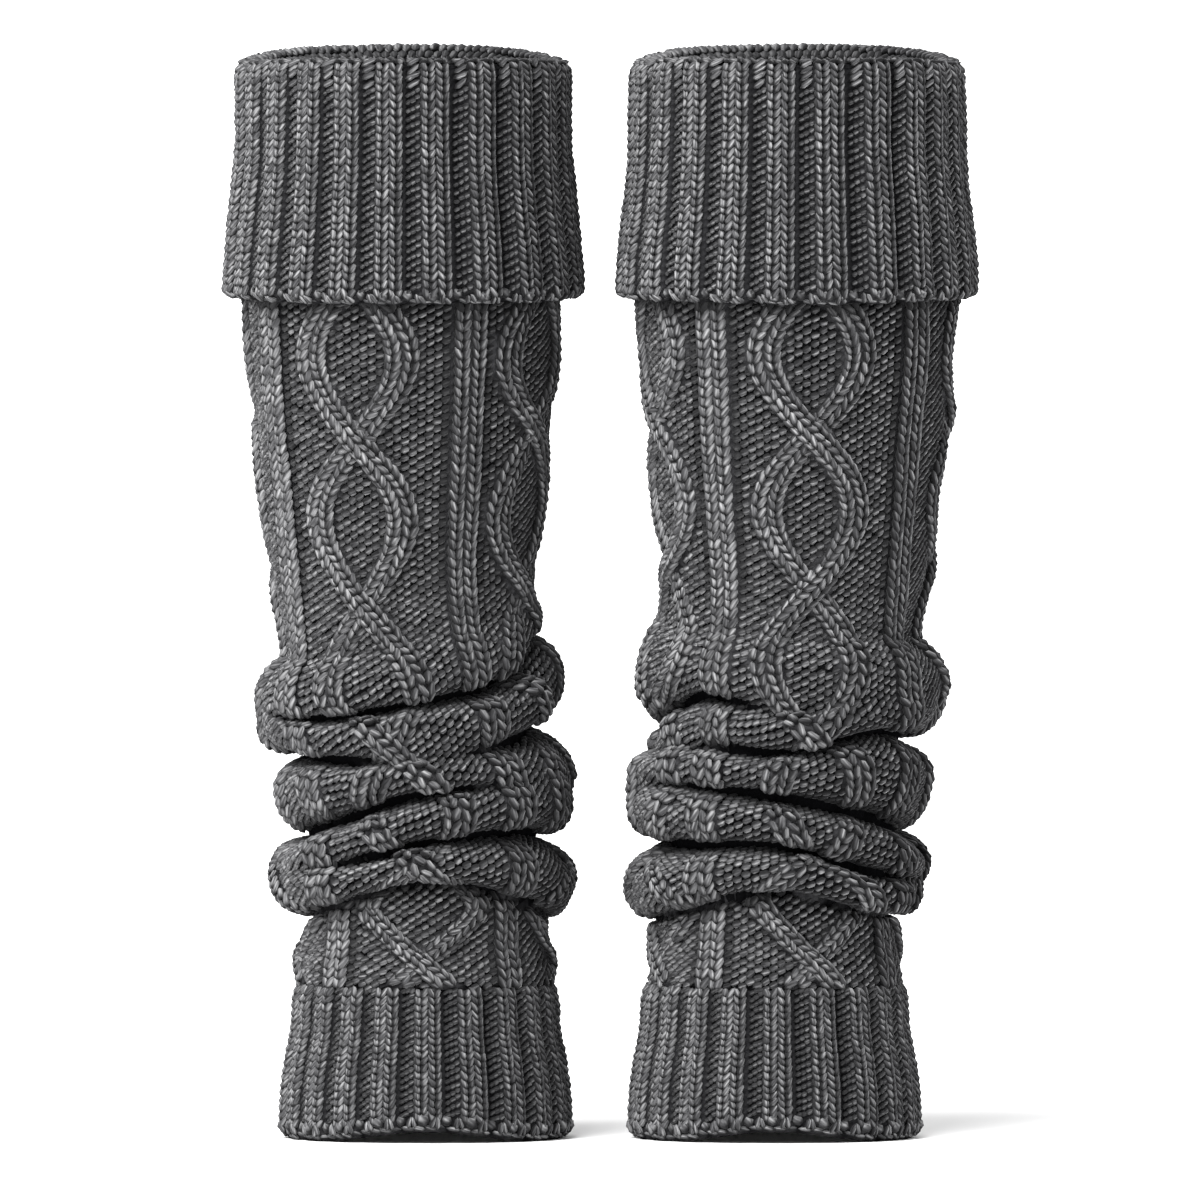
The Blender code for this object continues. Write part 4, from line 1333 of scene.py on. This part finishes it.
# %% Charcoal yarn
FIBRE_DARK = (0.008, 0.008, 0.0085, 1.0)
FIBRE_MID = (0.066, 0.066, 0.069, 1.0)
FIBRE_PALE = (0.36, 0.36, 0.365, 1.0)
PLY_LINES, PLY_TURNS = 6.0, 0.9  # grooves round a stitch, and how often they wind round along it
TONE_TURNS, TONE_APART = 7.0, 60.0  # the tone also starts the plies and the streaks somewhere else
STREAK_ACROSS, STREAK_ALONG = 1.1, 1.2  # how fine the streaks are
CLOUD_SCALE = 300.0  # soft patches a few millimetres wide, over many stitches
# weights of the fibres, the painted highlight, the plies, the patches and the tone
FIBRE_SHARE, CROWN_HIGHLIGHT_SHARE, PLY_SHARE, CLOUD_SHARE, TONE_SHARE = 0.8, 0.2, 0.1, 0.14, 0.04
DARKER_BY = 0.12  # off their sum
YARN_BUMP = {"Strength": 0.6, "Distance": 0.3 * MM}
YARN_FEEL = {
    "Roughness": 0.88, "Specular IOR Level": 0.12,
    "Sheen Weight": 0.08, "Sheen Roughness": 0.45, "Sheen Tint": (0.7, 0.7, 0.72, 1.0),
}


def new_material(name, feel):
    """A material, its main node with constants set, and a Shade to start expressions from."""
    material = bpy.data.materials.new(name)
    material.use_nodes = True
    principled = material.node_tree.nodes["Principled BSDF"]
    for socket, value in feel.items():
        principled.inputs[socket].default_value = value
    return material, principled, Shade(material.node_tree)


def connect(shade, socket):
    """Feed a socket of a node."""
    shade.tree.links.new(shade.socket, socket)


def yarn_material():
    """Heather on each stitch, a painted highlight on its crown and painted shade at its edges."""
    material, principled, start = new_material("charcoal_yarn_stitches", YARN_FEEL)
    uv = start.node("ShaderNodeUVMap", {"uv_map": "stitch"})
    split = start.node("ShaderNodeSeparateXYZ", (), {0: uv})
    around, along = split, Shade(split.tree, split.socket.node.outputs[1])
    tone = start.node("ShaderNodeAttribute", {"attribute_name": "tone"}, output="Fac")
    place = start.node("ShaderNodeTexCoord", output="Object")
    twist = around * PLY_LINES + along * PLY_TURNS + tone * TONE_TURNS
    ply = (twist * (2 * math.pi)).maths("SINE") * 0.5 + 0.5
    streaks = {0: twist * STREAK_ACROSS, 1: along * STREAK_ALONG, 2: tone * TONE_APART}
    across = start.node("ShaderNodeCombineXYZ", (), streaks)
    fibre = start.node("ShaderNodeTexNoise", (), {"Vector": across, "Scale": 1.0, "Detail": 2.0})
    patches = {"Vector": place, "Scale": CLOUD_SCALE, "Detail": 2.0}
    cloud = start.node("ShaderNodeTexNoise", (), patches)
    outward = (around * (2 * math.pi)).maths("COSINE") * 0.5 + 0.5
    # painted highlight: a stitch is paler along the crown that faces out of the cloth
    painted_crown_highlight = outward.between(0.4, 1.0)
    light = fibre * FIBRE_SHARE + painted_crown_highlight * CROWN_HIGHLIGHT_SHARE + ply * PLY_SHARE + cloud * CLOUD_SHARE
    light = light + tone * TONE_SHARE - DARKER_BY
    # painted shade at a stitch's sides and both ends, most at the upper end, tucked behind the next
    painted_light_mask = outward.between(0.2, 0.8) * (1.0 - along).between(0.0, 0.5) * along.between(-0.1, 0.2)
    pale = light.between(0.48, 0.9)
    colour = pale.mix(light.between(0.2, 0.55).mix(FIBRE_DARK, FIBRE_MID), FIBRE_PALE)
    # the painted shade that each stitch carries darkens it by up to nine tenths, towards the dark
    # fibre
    shade = start.node("ShaderNodeAttribute", {"attribute_name": "shade"}, output="Fac")
    connect((painted_light_mask * (1.0 - shade * 0.9)).mix(FIBRE_DARK, colour), principled.inputs["Base Color"])
    height = ply * 0.7 + fibre * 0.5
    bump = start.node("ShaderNodeBump", (), {"Height": height, **YARN_BUMP})
    connect(bump, principled.inputs["Normal"])
    return material


YARN = yarn_material()
print("the yarn's finish has", len(YARN.node_tree.nodes), "nodes")

# %% [markdown]
# The cloth behind the stitches is seen between them, and from inside the tubes. It is darker,
# because little light gets there. Its own map counts columns and rows, and a ripple on it gives the
# inside the bumps of knitting that has no stitches of its own. An attribute holds each point's
# painted light and shade: 0 is a valley, 1 the usual grey, and above 1 it grows paler.

# %% The cloth behind the stitches
# colours of the cloth: painted shade in valleys and creases, the usual grey, and paler inside
INSIDE_MID = (0.055, 0.055, 0.058, 1.0)
INSIDE_DARK = (0.004, 0.004, 0.0045, 1.0)
INSIDE_PALE = (0.16, 0.16, 0.164, 1.0)
GROUND_CLOUD_SCALE = 1800.0
ROW_SLANT = 0.4  # rows up for each column
GROUND_BUMP = {"Strength": 0.9, "Distance": 0.8 * MM}
GROUND_FEEL = {"Roughness": 0.95, "Specular IOR Level": 0.0}


def ground_material():
    """Plain dark knit with a ripple of columns and rows."""
    material, principled, start = new_material("charcoal_yarn_ground", GROUND_FEEL)
    uv = start.node("ShaderNodeUVMap", {"uv_map": "gauge"})
    split = start.node("ShaderNodeSeparateXYZ", (), {0: uv})
    column, row = split, Shade(split.tree, split.socket.node.outputs[1])
    place = start.node("ShaderNodeTexCoord", output="Object")
    wave = (column * (2 * math.pi)).maths("SINE") * 0.5 + 0.5
    bead = ((row + column * ROW_SLANT) * (2 * math.pi)).maths("SINE") * 0.5 + 0.5
    specks = {"Vector": place, "Scale": GROUND_CLOUD_SCALE, "Detail": 3.0}
    cloud = start.node("ShaderNodeTexNoise", (), specks)
    knit = wave * 0.4 + bead * 0.6
    painted_light = start.node("ShaderNodeAttribute", {"attribute_name": "painted_light"}, output="Fac")
    grain = knit * 0.4 + cloud * 0.8
    # painted light and shade from the attribute, mottled by the knit's ripple and specks
    colour = ((painted_light - 1.0) * grain).mix((painted_light * grain).mix(INSIDE_DARK, INSIDE_MID), INSIDE_PALE)
    connect(colour, principled.inputs["Base Color"])
    bump = start.node("ShaderNodeBump", (), {"Height": knit + cloud * 0.4, **GROUND_BUMP})
    connect(bump, principled.inputs["Normal"])
    return material


GROUND = ground_material()
print("two finishes:", YARN.name, "and", GROUND.name)

# %% [markdown]
# ## Make the stitches real
#
# The points go in as a mesh without faces, with the attributes that the tree reads. The tree's
# result is copied to a plain mesh, and the modifier is dropped. Last, every stitch gets its own
# little square on one more map, so that a picture of the finish can be baked with no stitch over
# another.

# %% From rows of stitches to a mesh
STITCH_RINGS = 3  # rings of faces from one end of a stitch to the other
BAKE_MARGIN = 0.06


def add_numbers(mesh, name, values):
    """A number for each point, under a name that a tree or a finish reads."""
    layer = mesh.attributes.new(name, "FLOAT", "POINT")
    layer.data.foreach_set("value", values.astype(np.float32))


def add_vectors(mesh, name, values):
    """A vector for each point, under a name that the tree reads."""
    layer = mesh.attributes.new(name, "FLOAT_VECTOR", "POINT")
    layer.data.foreach_set("vector", np.ascontiguousarray(values, np.float32).ravel())


def add_bake_map(mesh, count):
    """A square of the map for each stitch, which are all alike and follow one another."""
    stitch = np.empty(len(mesh.loops) * 2, np.float32)
    mesh.uv_layers["stitch"].uv.foreach_get("vector", stitch)
    stitch = stitch.reshape(count, -1, 2)
    side = math.ceil(math.sqrt(count))
    number = np.arange(count)
    corner = np.stack([number % side, number // side], axis=1)[:, None, :]
    spread = (corner + BAKE_MARGIN + stitch * (1 - 2 * BAKE_MARGIN)) / side
    layer = mesh.uv_layers.new(name="OFBake")
    layer.uv.foreach_set("vector", spread.astype(np.float32).ravel())


def grow(name, centre, out, along, size, shade, sides, fullness, seed):
    """One mesh of stitches, each at its centre."""
    points = bpy.data.meshes.new(name + "_points")
    points.from_pydata(centre.tolist(), [], [])
    add_vectors(points, "out", out)
    add_vectors(points, "along", along)
    add_vectors(points, "size", size)
    add_numbers(points, "shade", shade)
    piece = bpy.data.objects.new(name, points)
    bpy.context.scene.collection.objects.link(piece)
    modifier = piece.modifiers.new("stitches", "NODES")
    modifier.node_group = STITCH_TREE
    values = {
        "Sides": sides, "Rings": STITCH_RINGS, "Fullness": fullness, "Seed": seed, "Yarn": YARN,
    }
    for item in STITCH_TREE.interface.items_tree:
        if item.item_type == "SOCKET" and item.in_out == "INPUT" and item.name in values:
            modifier[item.identifier] = values[item.name]
    ready = bpy.context.evaluated_depsgraph_get()
    mesh = bpy.data.meshes.new_from_object(
        piece.evaluated_get(ready), preserve_all_data_layers=True, depsgraph=ready
    )
    piece.modifiers.remove(modifier)
    piece.data = mesh
    mesh.name = name
    bpy.data.meshes.remove(points)
    for left in [layer.name for layer in mesh.attributes if layer.name in ("out", "along", "size")]:
        mesh.attributes.remove(mesh.attributes[left])
    add_bake_map(mesh, len(centre))
    faces = np.empty(len(mesh.polygons), np.int32)
    mesh.polygons.foreach_get("loop_total", faces)
    print(f"{name}: {len(centre)} stitches, {int((faces - 2).sum())} triangles")
    return piece


print("a stitch is a ball with", STITCH_RINGS, "rings, drawn out into a spindle")

# %% [markdown]
# ## The thin cloths
#
# A cloth piece is one closed wall: rings down its outside and back up its inside. Rings are simple
# and keep the faces even, which a remesh wouldn't. The wall carries two maps. One counts columns
# and rows for the finish, and the other is spread out flat so that a picture of the finish can be
# baked.


# %% Build a wall from rings
def wall(name, rings, gauge):
    """A closed wall of rings of points with painted light, down its outside and up its inside."""
    count = len(rings[0][0])
    points = np.concatenate([points for points, _ in rings])
    painted_light = np.concatenate([painted_light for _, painted_light in rings])
    ring = np.arange(len(rings))[:, None] * count
    below = np.roll(np.arange(len(rings)), -1)[:, None] * count
    column, beside = np.arange(count)[None, :], (np.arange(count)[None, :] + 1) % count
    faces = np.stack([ring + column, below + column, below + beside, ring + beside], axis=2)
    faces = faces.reshape(-1, 4)
    mesh = bpy.data.meshes.new(name)
    mesh.from_pydata(points.tolist(), [], faces.tolist())
    add_numbers(mesh, "painted_light", painted_light)
    mesh.materials.append(GROUND)
    mesh.shade_smooth()
    left = (np.arange(count) / count)[None, :, None]
    left = left + np.array([0.0, 0.0, 1.0 / count, 1.0 / count])
    upper = (np.arange(len(rings)) / len(rings))[:, None, None]
    upper = upper + np.array([0.0, 1.0, 1.0, 0.0]) / len(rings)
    left, upper = np.broadcast_arrays(left, upper)
    spread = np.stack([left, upper], axis=3).reshape(-1, 2)
    for layer_name, scale in (("gauge", gauge), ("OFBake", (1.0, 1.0))):
        layer = mesh.uv_layers.new(name=layer_name)
        layer.uv.foreach_set("vector", (spread * scale).astype(np.float32).ravel())
    piece = bpy.data.objects.new(name, mesh)
    bpy.context.scene.collection.objects.link(piece)
    print(f"{name}: {2 * len(faces)} triangles")
    return piece


Gauge = namedtuple("Gauge", "columns rows")  # of knitting, all round and all along the wall
print("a wall's maps count its knitting, for example", Gauge(columns=100, rows=150))

# %% [markdown]
# The outside lies a little under the crowns of the stitches and follows the same relief, so that
# nothing behind shows between them. The inside is smooth. Both sink in a crease, where real cloth
# presses on itself and light can't reach.

# %% Rings of a cloth
WALL = 2.1 * MM
UNDER_STITCHES = 0.7 * MM
CROWN_FROM, CROWN_LEAST = 1.6 * MM, 0.15  # painted light of the cloth: full from this relief up, and what a valley keeps
SLOT_SINK = 1.4 * MM  # a crease's bottom is a dark slot
# painted light of the inside, paler than the usual grey
INSIDE_PAINTED_LIGHT = 1.7
CREASE_DARK = 3.0  # painted shade: a crease of a third of its full depth is already black inside


def cloth_ring(cloth, relief, angles, down, under):
    """One ring of points at a length down the cloth, and each one's painted light and shade."""
    level = np.full(angles.shape, down)
    raised = relief(angles, level)
    crease = cloth.read(cloth.fields["crease"], angles, level)
    high = raised - under - SLOT_SINK * crease - crease_sink(cloth, angles, level)
    out = cloth.read(cloth.out, angles, level)
    points = cloth.read(cloth.points, angles, level) + out * high[:, None]
    return points, np.clip(raised / CROWN_FROM, CROWN_LEAST, 1.0) * (1.0 - crease)


def inside_ring(cloth, angles, down, under):
    """One ring of the plain inside, with its painted light, black in a crease."""
    level = np.full(angles.shape, down)
    crease = cloth.read(cloth.fields["crease"], angles, level)
    deep = under + SLOT_SINK * crease + crease_sink(cloth, angles, level)
    out = cloth.read(cloth.out, angles, level)
    points = cloth.read(cloth.points, angles, level) - out * deep[:, None]
    return points, INSIDE_PAINTED_LIGHT * (1.0 - ease(CREASE_DARK * crease))


a_leg, a_relief = leg_cloths["left"], leg_reliefs["left"]
a_ring = cloth_ring(a_leg, a_relief, np.array(STATIONS, float), 100 * MM, UNDER_STITCHES)[0]
print("100 mm down the left leg, the cloth is", round(a_ring[:, 2].mean() / MM), "mm up")

# %% [markdown]
# Each part has its own number of rings. The rolls need many. A cuff needs fewer, but five columns
# to a rib, so that the cloth dips with every valley.

# %% The three cloths of a warmer
LEG_CLOTH_COLUMNS, LEG_CLOTH_RINGS, LEG_INSIDE_RINGS = 76, 90, 54
CUFF_COLUMNS, ANKLE_CLOTH_COLUMNS = 5 * CUFF_RIBS, 5 * ANKLE_RIBS
CUFF_CLOTH_RINGS, CUFF_BACK_RINGS = 44, 22
ANKLE_CLOTH_RINGS, ANKLE_INSIDE_RINGS = 14, 8
LEG_GAUGE, CUFF_GAUGE = Gauge(columns=100, rows=150), Gauge(columns=156, rows=100)
ANKLE_GAUGE = Gauge(columns=132, rows=30)
PLY = 1.6 * MM  # the top cuff has two plies, each thinner than the leg
BARE_PALER = 3.2  # where the inner ply has no stitches of its own


def leg_piece(name, cloth, relief):
    """The leg's cloth."""
    angles = np.arange(LEG_CLOTH_COLUMNS) * 360.0 / LEG_CLOTH_COLUMNS
    outside = [
        cloth_ring(cloth, relief, angles, down, UNDER_STITCHES)
        for down in np.linspace(0.0, cloth.length, LEG_CLOTH_RINGS)
    ]
    inside = [
        inside_ring(cloth, angles, down, WALL)
        for down in np.linspace(cloth.length, 0.0, LEG_INSIDE_RINGS)
    ]
    return wall(name, outside + inside, LEG_GAUGE)


def cuff_piece(name, cloth):
    """The folded strip: its showing side, from the seam over the fold to the hem, and its back."""
    angles = np.arange(CUFF_COLUMNS) * 360.0 / CUFF_COLUMNS
    outside = []
    for down in np.linspace(0.0, cloth.length, CUFF_CLOTH_RINGS):
        points, painted_light = cloth_ring(cloth, cuff_relief, angles, down, UNDER_STITCHES)
        outside.append((points, painted_light * (BARE_PALER if down < FOLD_AT - INNER_SEEN else 1.0)))
    inside = [
        inside_ring(cloth, angles, down, PLY)
        for down in np.linspace(cloth.length, 0.0, CUFF_BACK_RINGS)
    ]
    return wall(name, outside + inside, CUFF_GAUGE)


def ankle_piece(name, cloth):
    """The ankle cuff's cloth. Its hem stays at the height of the hem's line, on the floor."""
    angles = np.arange(ANKLE_CLOTH_COLUMNS) * 360.0 / ANKLE_CLOTH_COLUMNS
    outside = [
        cloth_ring(cloth, ankle_relief, angles, down, UNDER_STITCHES)
        for down in np.linspace(0.0, cloth.length, ANKLE_CLOTH_RINGS)
    ]
    inside = [
        inside_ring(cloth, angles, down, WALL)
        for down in np.linspace(cloth.length, 0.0, ANKLE_INSIDE_RINGS)
    ]
    for points, _ in (outside[-1], inside[0]):
        points[:, 2] = cloth.read(cloth.points, angles, np.full(angles.shape, cloth.length))[:, 2]
    return wall(name, outside + inside, ANKLE_GAUGE)


leg_faces = 2 * LEG_CLOTH_COLUMNS * (LEG_CLOTH_RINGS + LEG_INSIDE_RINGS)
print("a leg's cloth will have", leg_faces, "triangles")

# %% [markdown]
# ## Knit the pair
#
# With all of that, a warmer is three cloths and five sets of stitches. Stitches that are seen
# closely get more sides, and the ones inside the cuff fewer. In a crease they get painted shade, and
# at its bottom, where nobody would see them and two rolls would run into each other, there are none.

# %% Sets of stitches
Spindle = namedtuple("Spindle", "sides fullness")  # with few sides a ball is thin, so it is filled
KNIT_SPINDLE, PURL_SPINDLE = Spindle(sides=6, fullness=1.12), Spindle(sides=5, fullness=1.16)
INNER_SPINDLE = Spindle(sides=4, fullness=1.3)
SHADE_FROM, BARE_FROM = 0.12, 0.95  # how deep in a crease stitches start to take painted shade, and are left out
KNIT_IN_ROLLS = 0.16  # painted shade on the knit in the rolls, so that they show one tone


def knit(name, cloth, relief, rows, spindle, seed):
    """One piece of stitches, made real on its cloth."""
    crease = cloth.read(cloth.fields["crease"], rows.angle, rows.down)
    shown = crease < BARE_FROM
    # painted shade deep in a crease, or the stitch's own painted shade if that is darker
    shade = np.maximum(ease((crease - SHADE_FROM) / (BARE_FROM - SHADE_FROM)), rows.shade)[shown]
    return grow(name, *lay(cloth, relief, jittered(kept(rows, shown), seed)), shade, *spindle, seed)


def knit_leg(warmer, leg, seed):
    """The strands and ribs of a leg, and its purled ground."""
    name = warmer.name
    panels = range(PANELS)
    raised = [strand_stitches(warmer, leg, panel, strand) for panel in panels for strand in (1, -1)]
    raised = together(raised + [straight_rib_stitches(warmer, leg, panel) for panel in panels])
    # painted shade on the knit in the rolls, and the cuff hem's painted shadow
    raised = with_hem_shadow(raised._replace(shade=KNIT_IN_ROLLS * in_rolls(leg, raised.down)))
    ground = purl_stitches(warmer, leg)
    return [
        knit(f"{name}_leg_cables", leg, leg_reliefs[name], raised, KNIT_SPINDLE, seed + 1),
        knit(f"{name}_leg_purl", leg, level_relief, ground, PURL_SPINDLE, seed + 2),
    ]


def knit_cuffs(name, cuff, ankle, seed):
    """The stitches outside and inside a top cuff, and those of an ankle cuff."""
    outer = together([outer_cuff_stitches(cuff), hem_stitches(cuff, CUFF_HEM), rim_knots()])
    inner = inner_cuff_stitches()
    on_cuff = [
        knit(f"{name}_top_cuff_stitches", cuff, cuff_relief, outer, KNIT_SPINDLE, seed + 3),
        knit(f"{name}_top_cuff_inner_stitches", cuff, cuff_relief, inner, INNER_SPINDLE, seed + 5),
    ]
    rows = together([ankle_rib_stitches(ankle), hem_stitches(ankle, ANKLE_HEM)])
    ankle_name = f"{name}_ankle_cuff_stitches"
    return on_cuff, [knit(ankle_name, ankle, ankle_relief, rows, KNIT_SPINDLE, seed + 4)]


print("spindles:", KNIT_SPINDLE, PURL_SPINDLE, INNER_SPINDLE)

# %% [markdown]
# The cloths stand for the solids. What each one's size would be, laid flat before it is knitted
# round, is kept with it: the girth of the leg's top, drawn in a little for the leg and more for the
# ankle, and the length that was measured down the cloth.

# %% Knit both warmers
SEEDS = {"left": 50, "right": 150}  # for the stitches' unevenness and their tones
ROUND_TOP = 336 * MM
LEG_SHARE, ANKLE_SHARE = 0.94, 0.86  # of that girth
Knitted = namedtuple("Knitted", "cloth stitches node flat held rests_on")


def knit_warmer(warmer):
    """A warmer's three cloths, each with its stitches."""
    name, seed = warmer.name, SEEDS[warmer.name]
    leg, cuff, ankle = leg_cloths[name], cuff_cloths[name], ankle_cloths[name]
    on_leg = knit_leg(warmer, leg, seed)
    on_cuff, on_ankle = knit_cuffs(name, cuff, ankle, seed)
    return (
        Knitted(
            leg_piece(f"{name}_leg_cloth", leg, leg_reliefs[name]), on_leg, node=f"{name}_leg",
            flat=(ROUND_TOP * LEG_SHARE, leg.length), held="gathered",
            rests_on=[f"{name}_ankle_cuff"],
        ),
        Knitted(
            cuff_piece(f"{name}_top_cuff_cloth", cuff), on_cuff, node=f"{name}_top_cuff",
            flat=(ROUND_TOP, cuff.length), held="folded", rests_on=[f"{name}_leg"],
        ),
        Knitted(
            ankle_piece(f"{name}_ankle_cuff_cloth", ankle), on_ankle, node=f"{name}_ankle_cuff",
            flat=(ROUND_TOP * ANKLE_SHARE, ankle.length), held="stretched", rests_on=["floor"],
        ),
    )


knitted = [piece for warmer in WARMERS for piece in knit_warmer(warmer)]
sets = sum(len(piece.stitches) for piece in knitted)
print("the pair has", len(knitted), "cloths and", sets, "sets of stitches")

# %% [markdown]
# ## Floor, light and camera
#
# Soft goods are best shown on a pale floor that runs out of sight. It is a matt square, large
# enough for any view of the pair.

# %% The floor
FLOOR_REACH = 12.0
FLOOR_FEEL = {"Base Color": (0.93, 0.93, 0.93, 1.0), "Roughness": 0.9, "Specular IOR Level": 0.1}
FLOOR_CORNERS = [
    (across * FLOOR_REACH, back * FLOOR_REACH, 0)
    for across, back in ((-1, -1), (1, -1), (1, 1), (-1, 1))
]


def make_floor():
    """A square floor."""
    mesh = bpy.data.meshes.new("floor")
    mesh.from_pydata(FLOOR_CORNERS, [], [(0, 1, 2, 3)])
    mesh.materials.append(new_material("pale_floor", FLOOR_FEEL)[0])
    floor = bpy.data.objects.new("floor", mesh)
    bpy.context.scene.collection.objects.link(floor)
    return floor


print("the floor has", len(make_floor().data.polygons), "face")

# %% [markdown]
# Relief shows in light that comes from the side, but a hard light would lose the valleys in black.
# So one wide sun stands high to the left, and a white sky fills the rest.

# %% The light
LIGHT_FROM = Vector((-0.31, -0.51, 0.77))
LIGHT_STRENGTH, LIGHT_SPREAD = 5.8, 36.0  # the spread is in degrees, and softens the shadows
SKY_STRENGTH = 0.95

light = bpy.data.lights.new("softbox", "SUN")
light.energy, light.angle = LIGHT_STRENGTH, math.radians(LIGHT_SPREAD)
softbox = bpy.data.objects.new("softbox", light)
softbox.rotation_euler = LIGHT_FROM.to_track_quat("Z", "Y").to_euler()
bpy.context.scene.collection.objects.link(softbox)
world = bpy.data.worlds.new("studio")
world.use_nodes = True
sky = world.node_tree.nodes["Background"]
sky.inputs["Color"].default_value = (1.0, 1.0, 1.0, 1.0)
sky.inputs["Strength"].default_value = SKY_STRENGTH
bpy.context.scene.world = world
bpy.context.scene.view_settings.view_transform = "Standard"
print("the light comes from", [round(part, 2) for part in LIGHT_FROM.normalized()])

# %% [markdown]
# A long lens from far away keeps upright things upright. An orthographic camera is the limit of
# that: both warmers show their rims as the same flat ellipses, and nothing shrinks towards the
# floor.

# %% The camera
CAMERA_FAR = 3.0
CAMERA_UP = 2.8  # degrees above level
VIEW_WIDTH = 434.4 * MM  # what the square frame takes in
AIM_HEIGHT = 194.8 * MM

lens = bpy.data.cameras.new("camera")
lens.type = "ORTHO"
lens.ortho_scale = VIEW_WIDTH
camera = bpy.data.objects.new("camera", lens)
rise = math.radians(CAMERA_UP)
camera.location = (0.0, -CAMERA_FAR * math.cos(rise), AIM_HEIGHT + CAMERA_FAR * math.sin(rise))
camera.rotation_euler = (math.radians(90.0 - CAMERA_UP), 0.0, 0.0)
bpy.context.scene.collection.objects.link(camera)
bpy.context.scene.camera = camera
print("the frame is", round(VIEW_WIDTH / MM), "mm wide")

# %% [markdown]
# ## Attach the pieces
#
# Every piece keeps still with the one body, "root", and each cloth replaces its solid, which is
# hidden. Each cloth keeps the size of its cut, how it is held, and what it rests on: the cuff on the
# leg, the leg on the ankle cuff, and the ankle cuff on the floor.

# %% Attach every piece
for piece in knitted:
    for part in [piece.cloth, *piece.stitches]:
        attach(part, "root")
    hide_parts(piece.node)
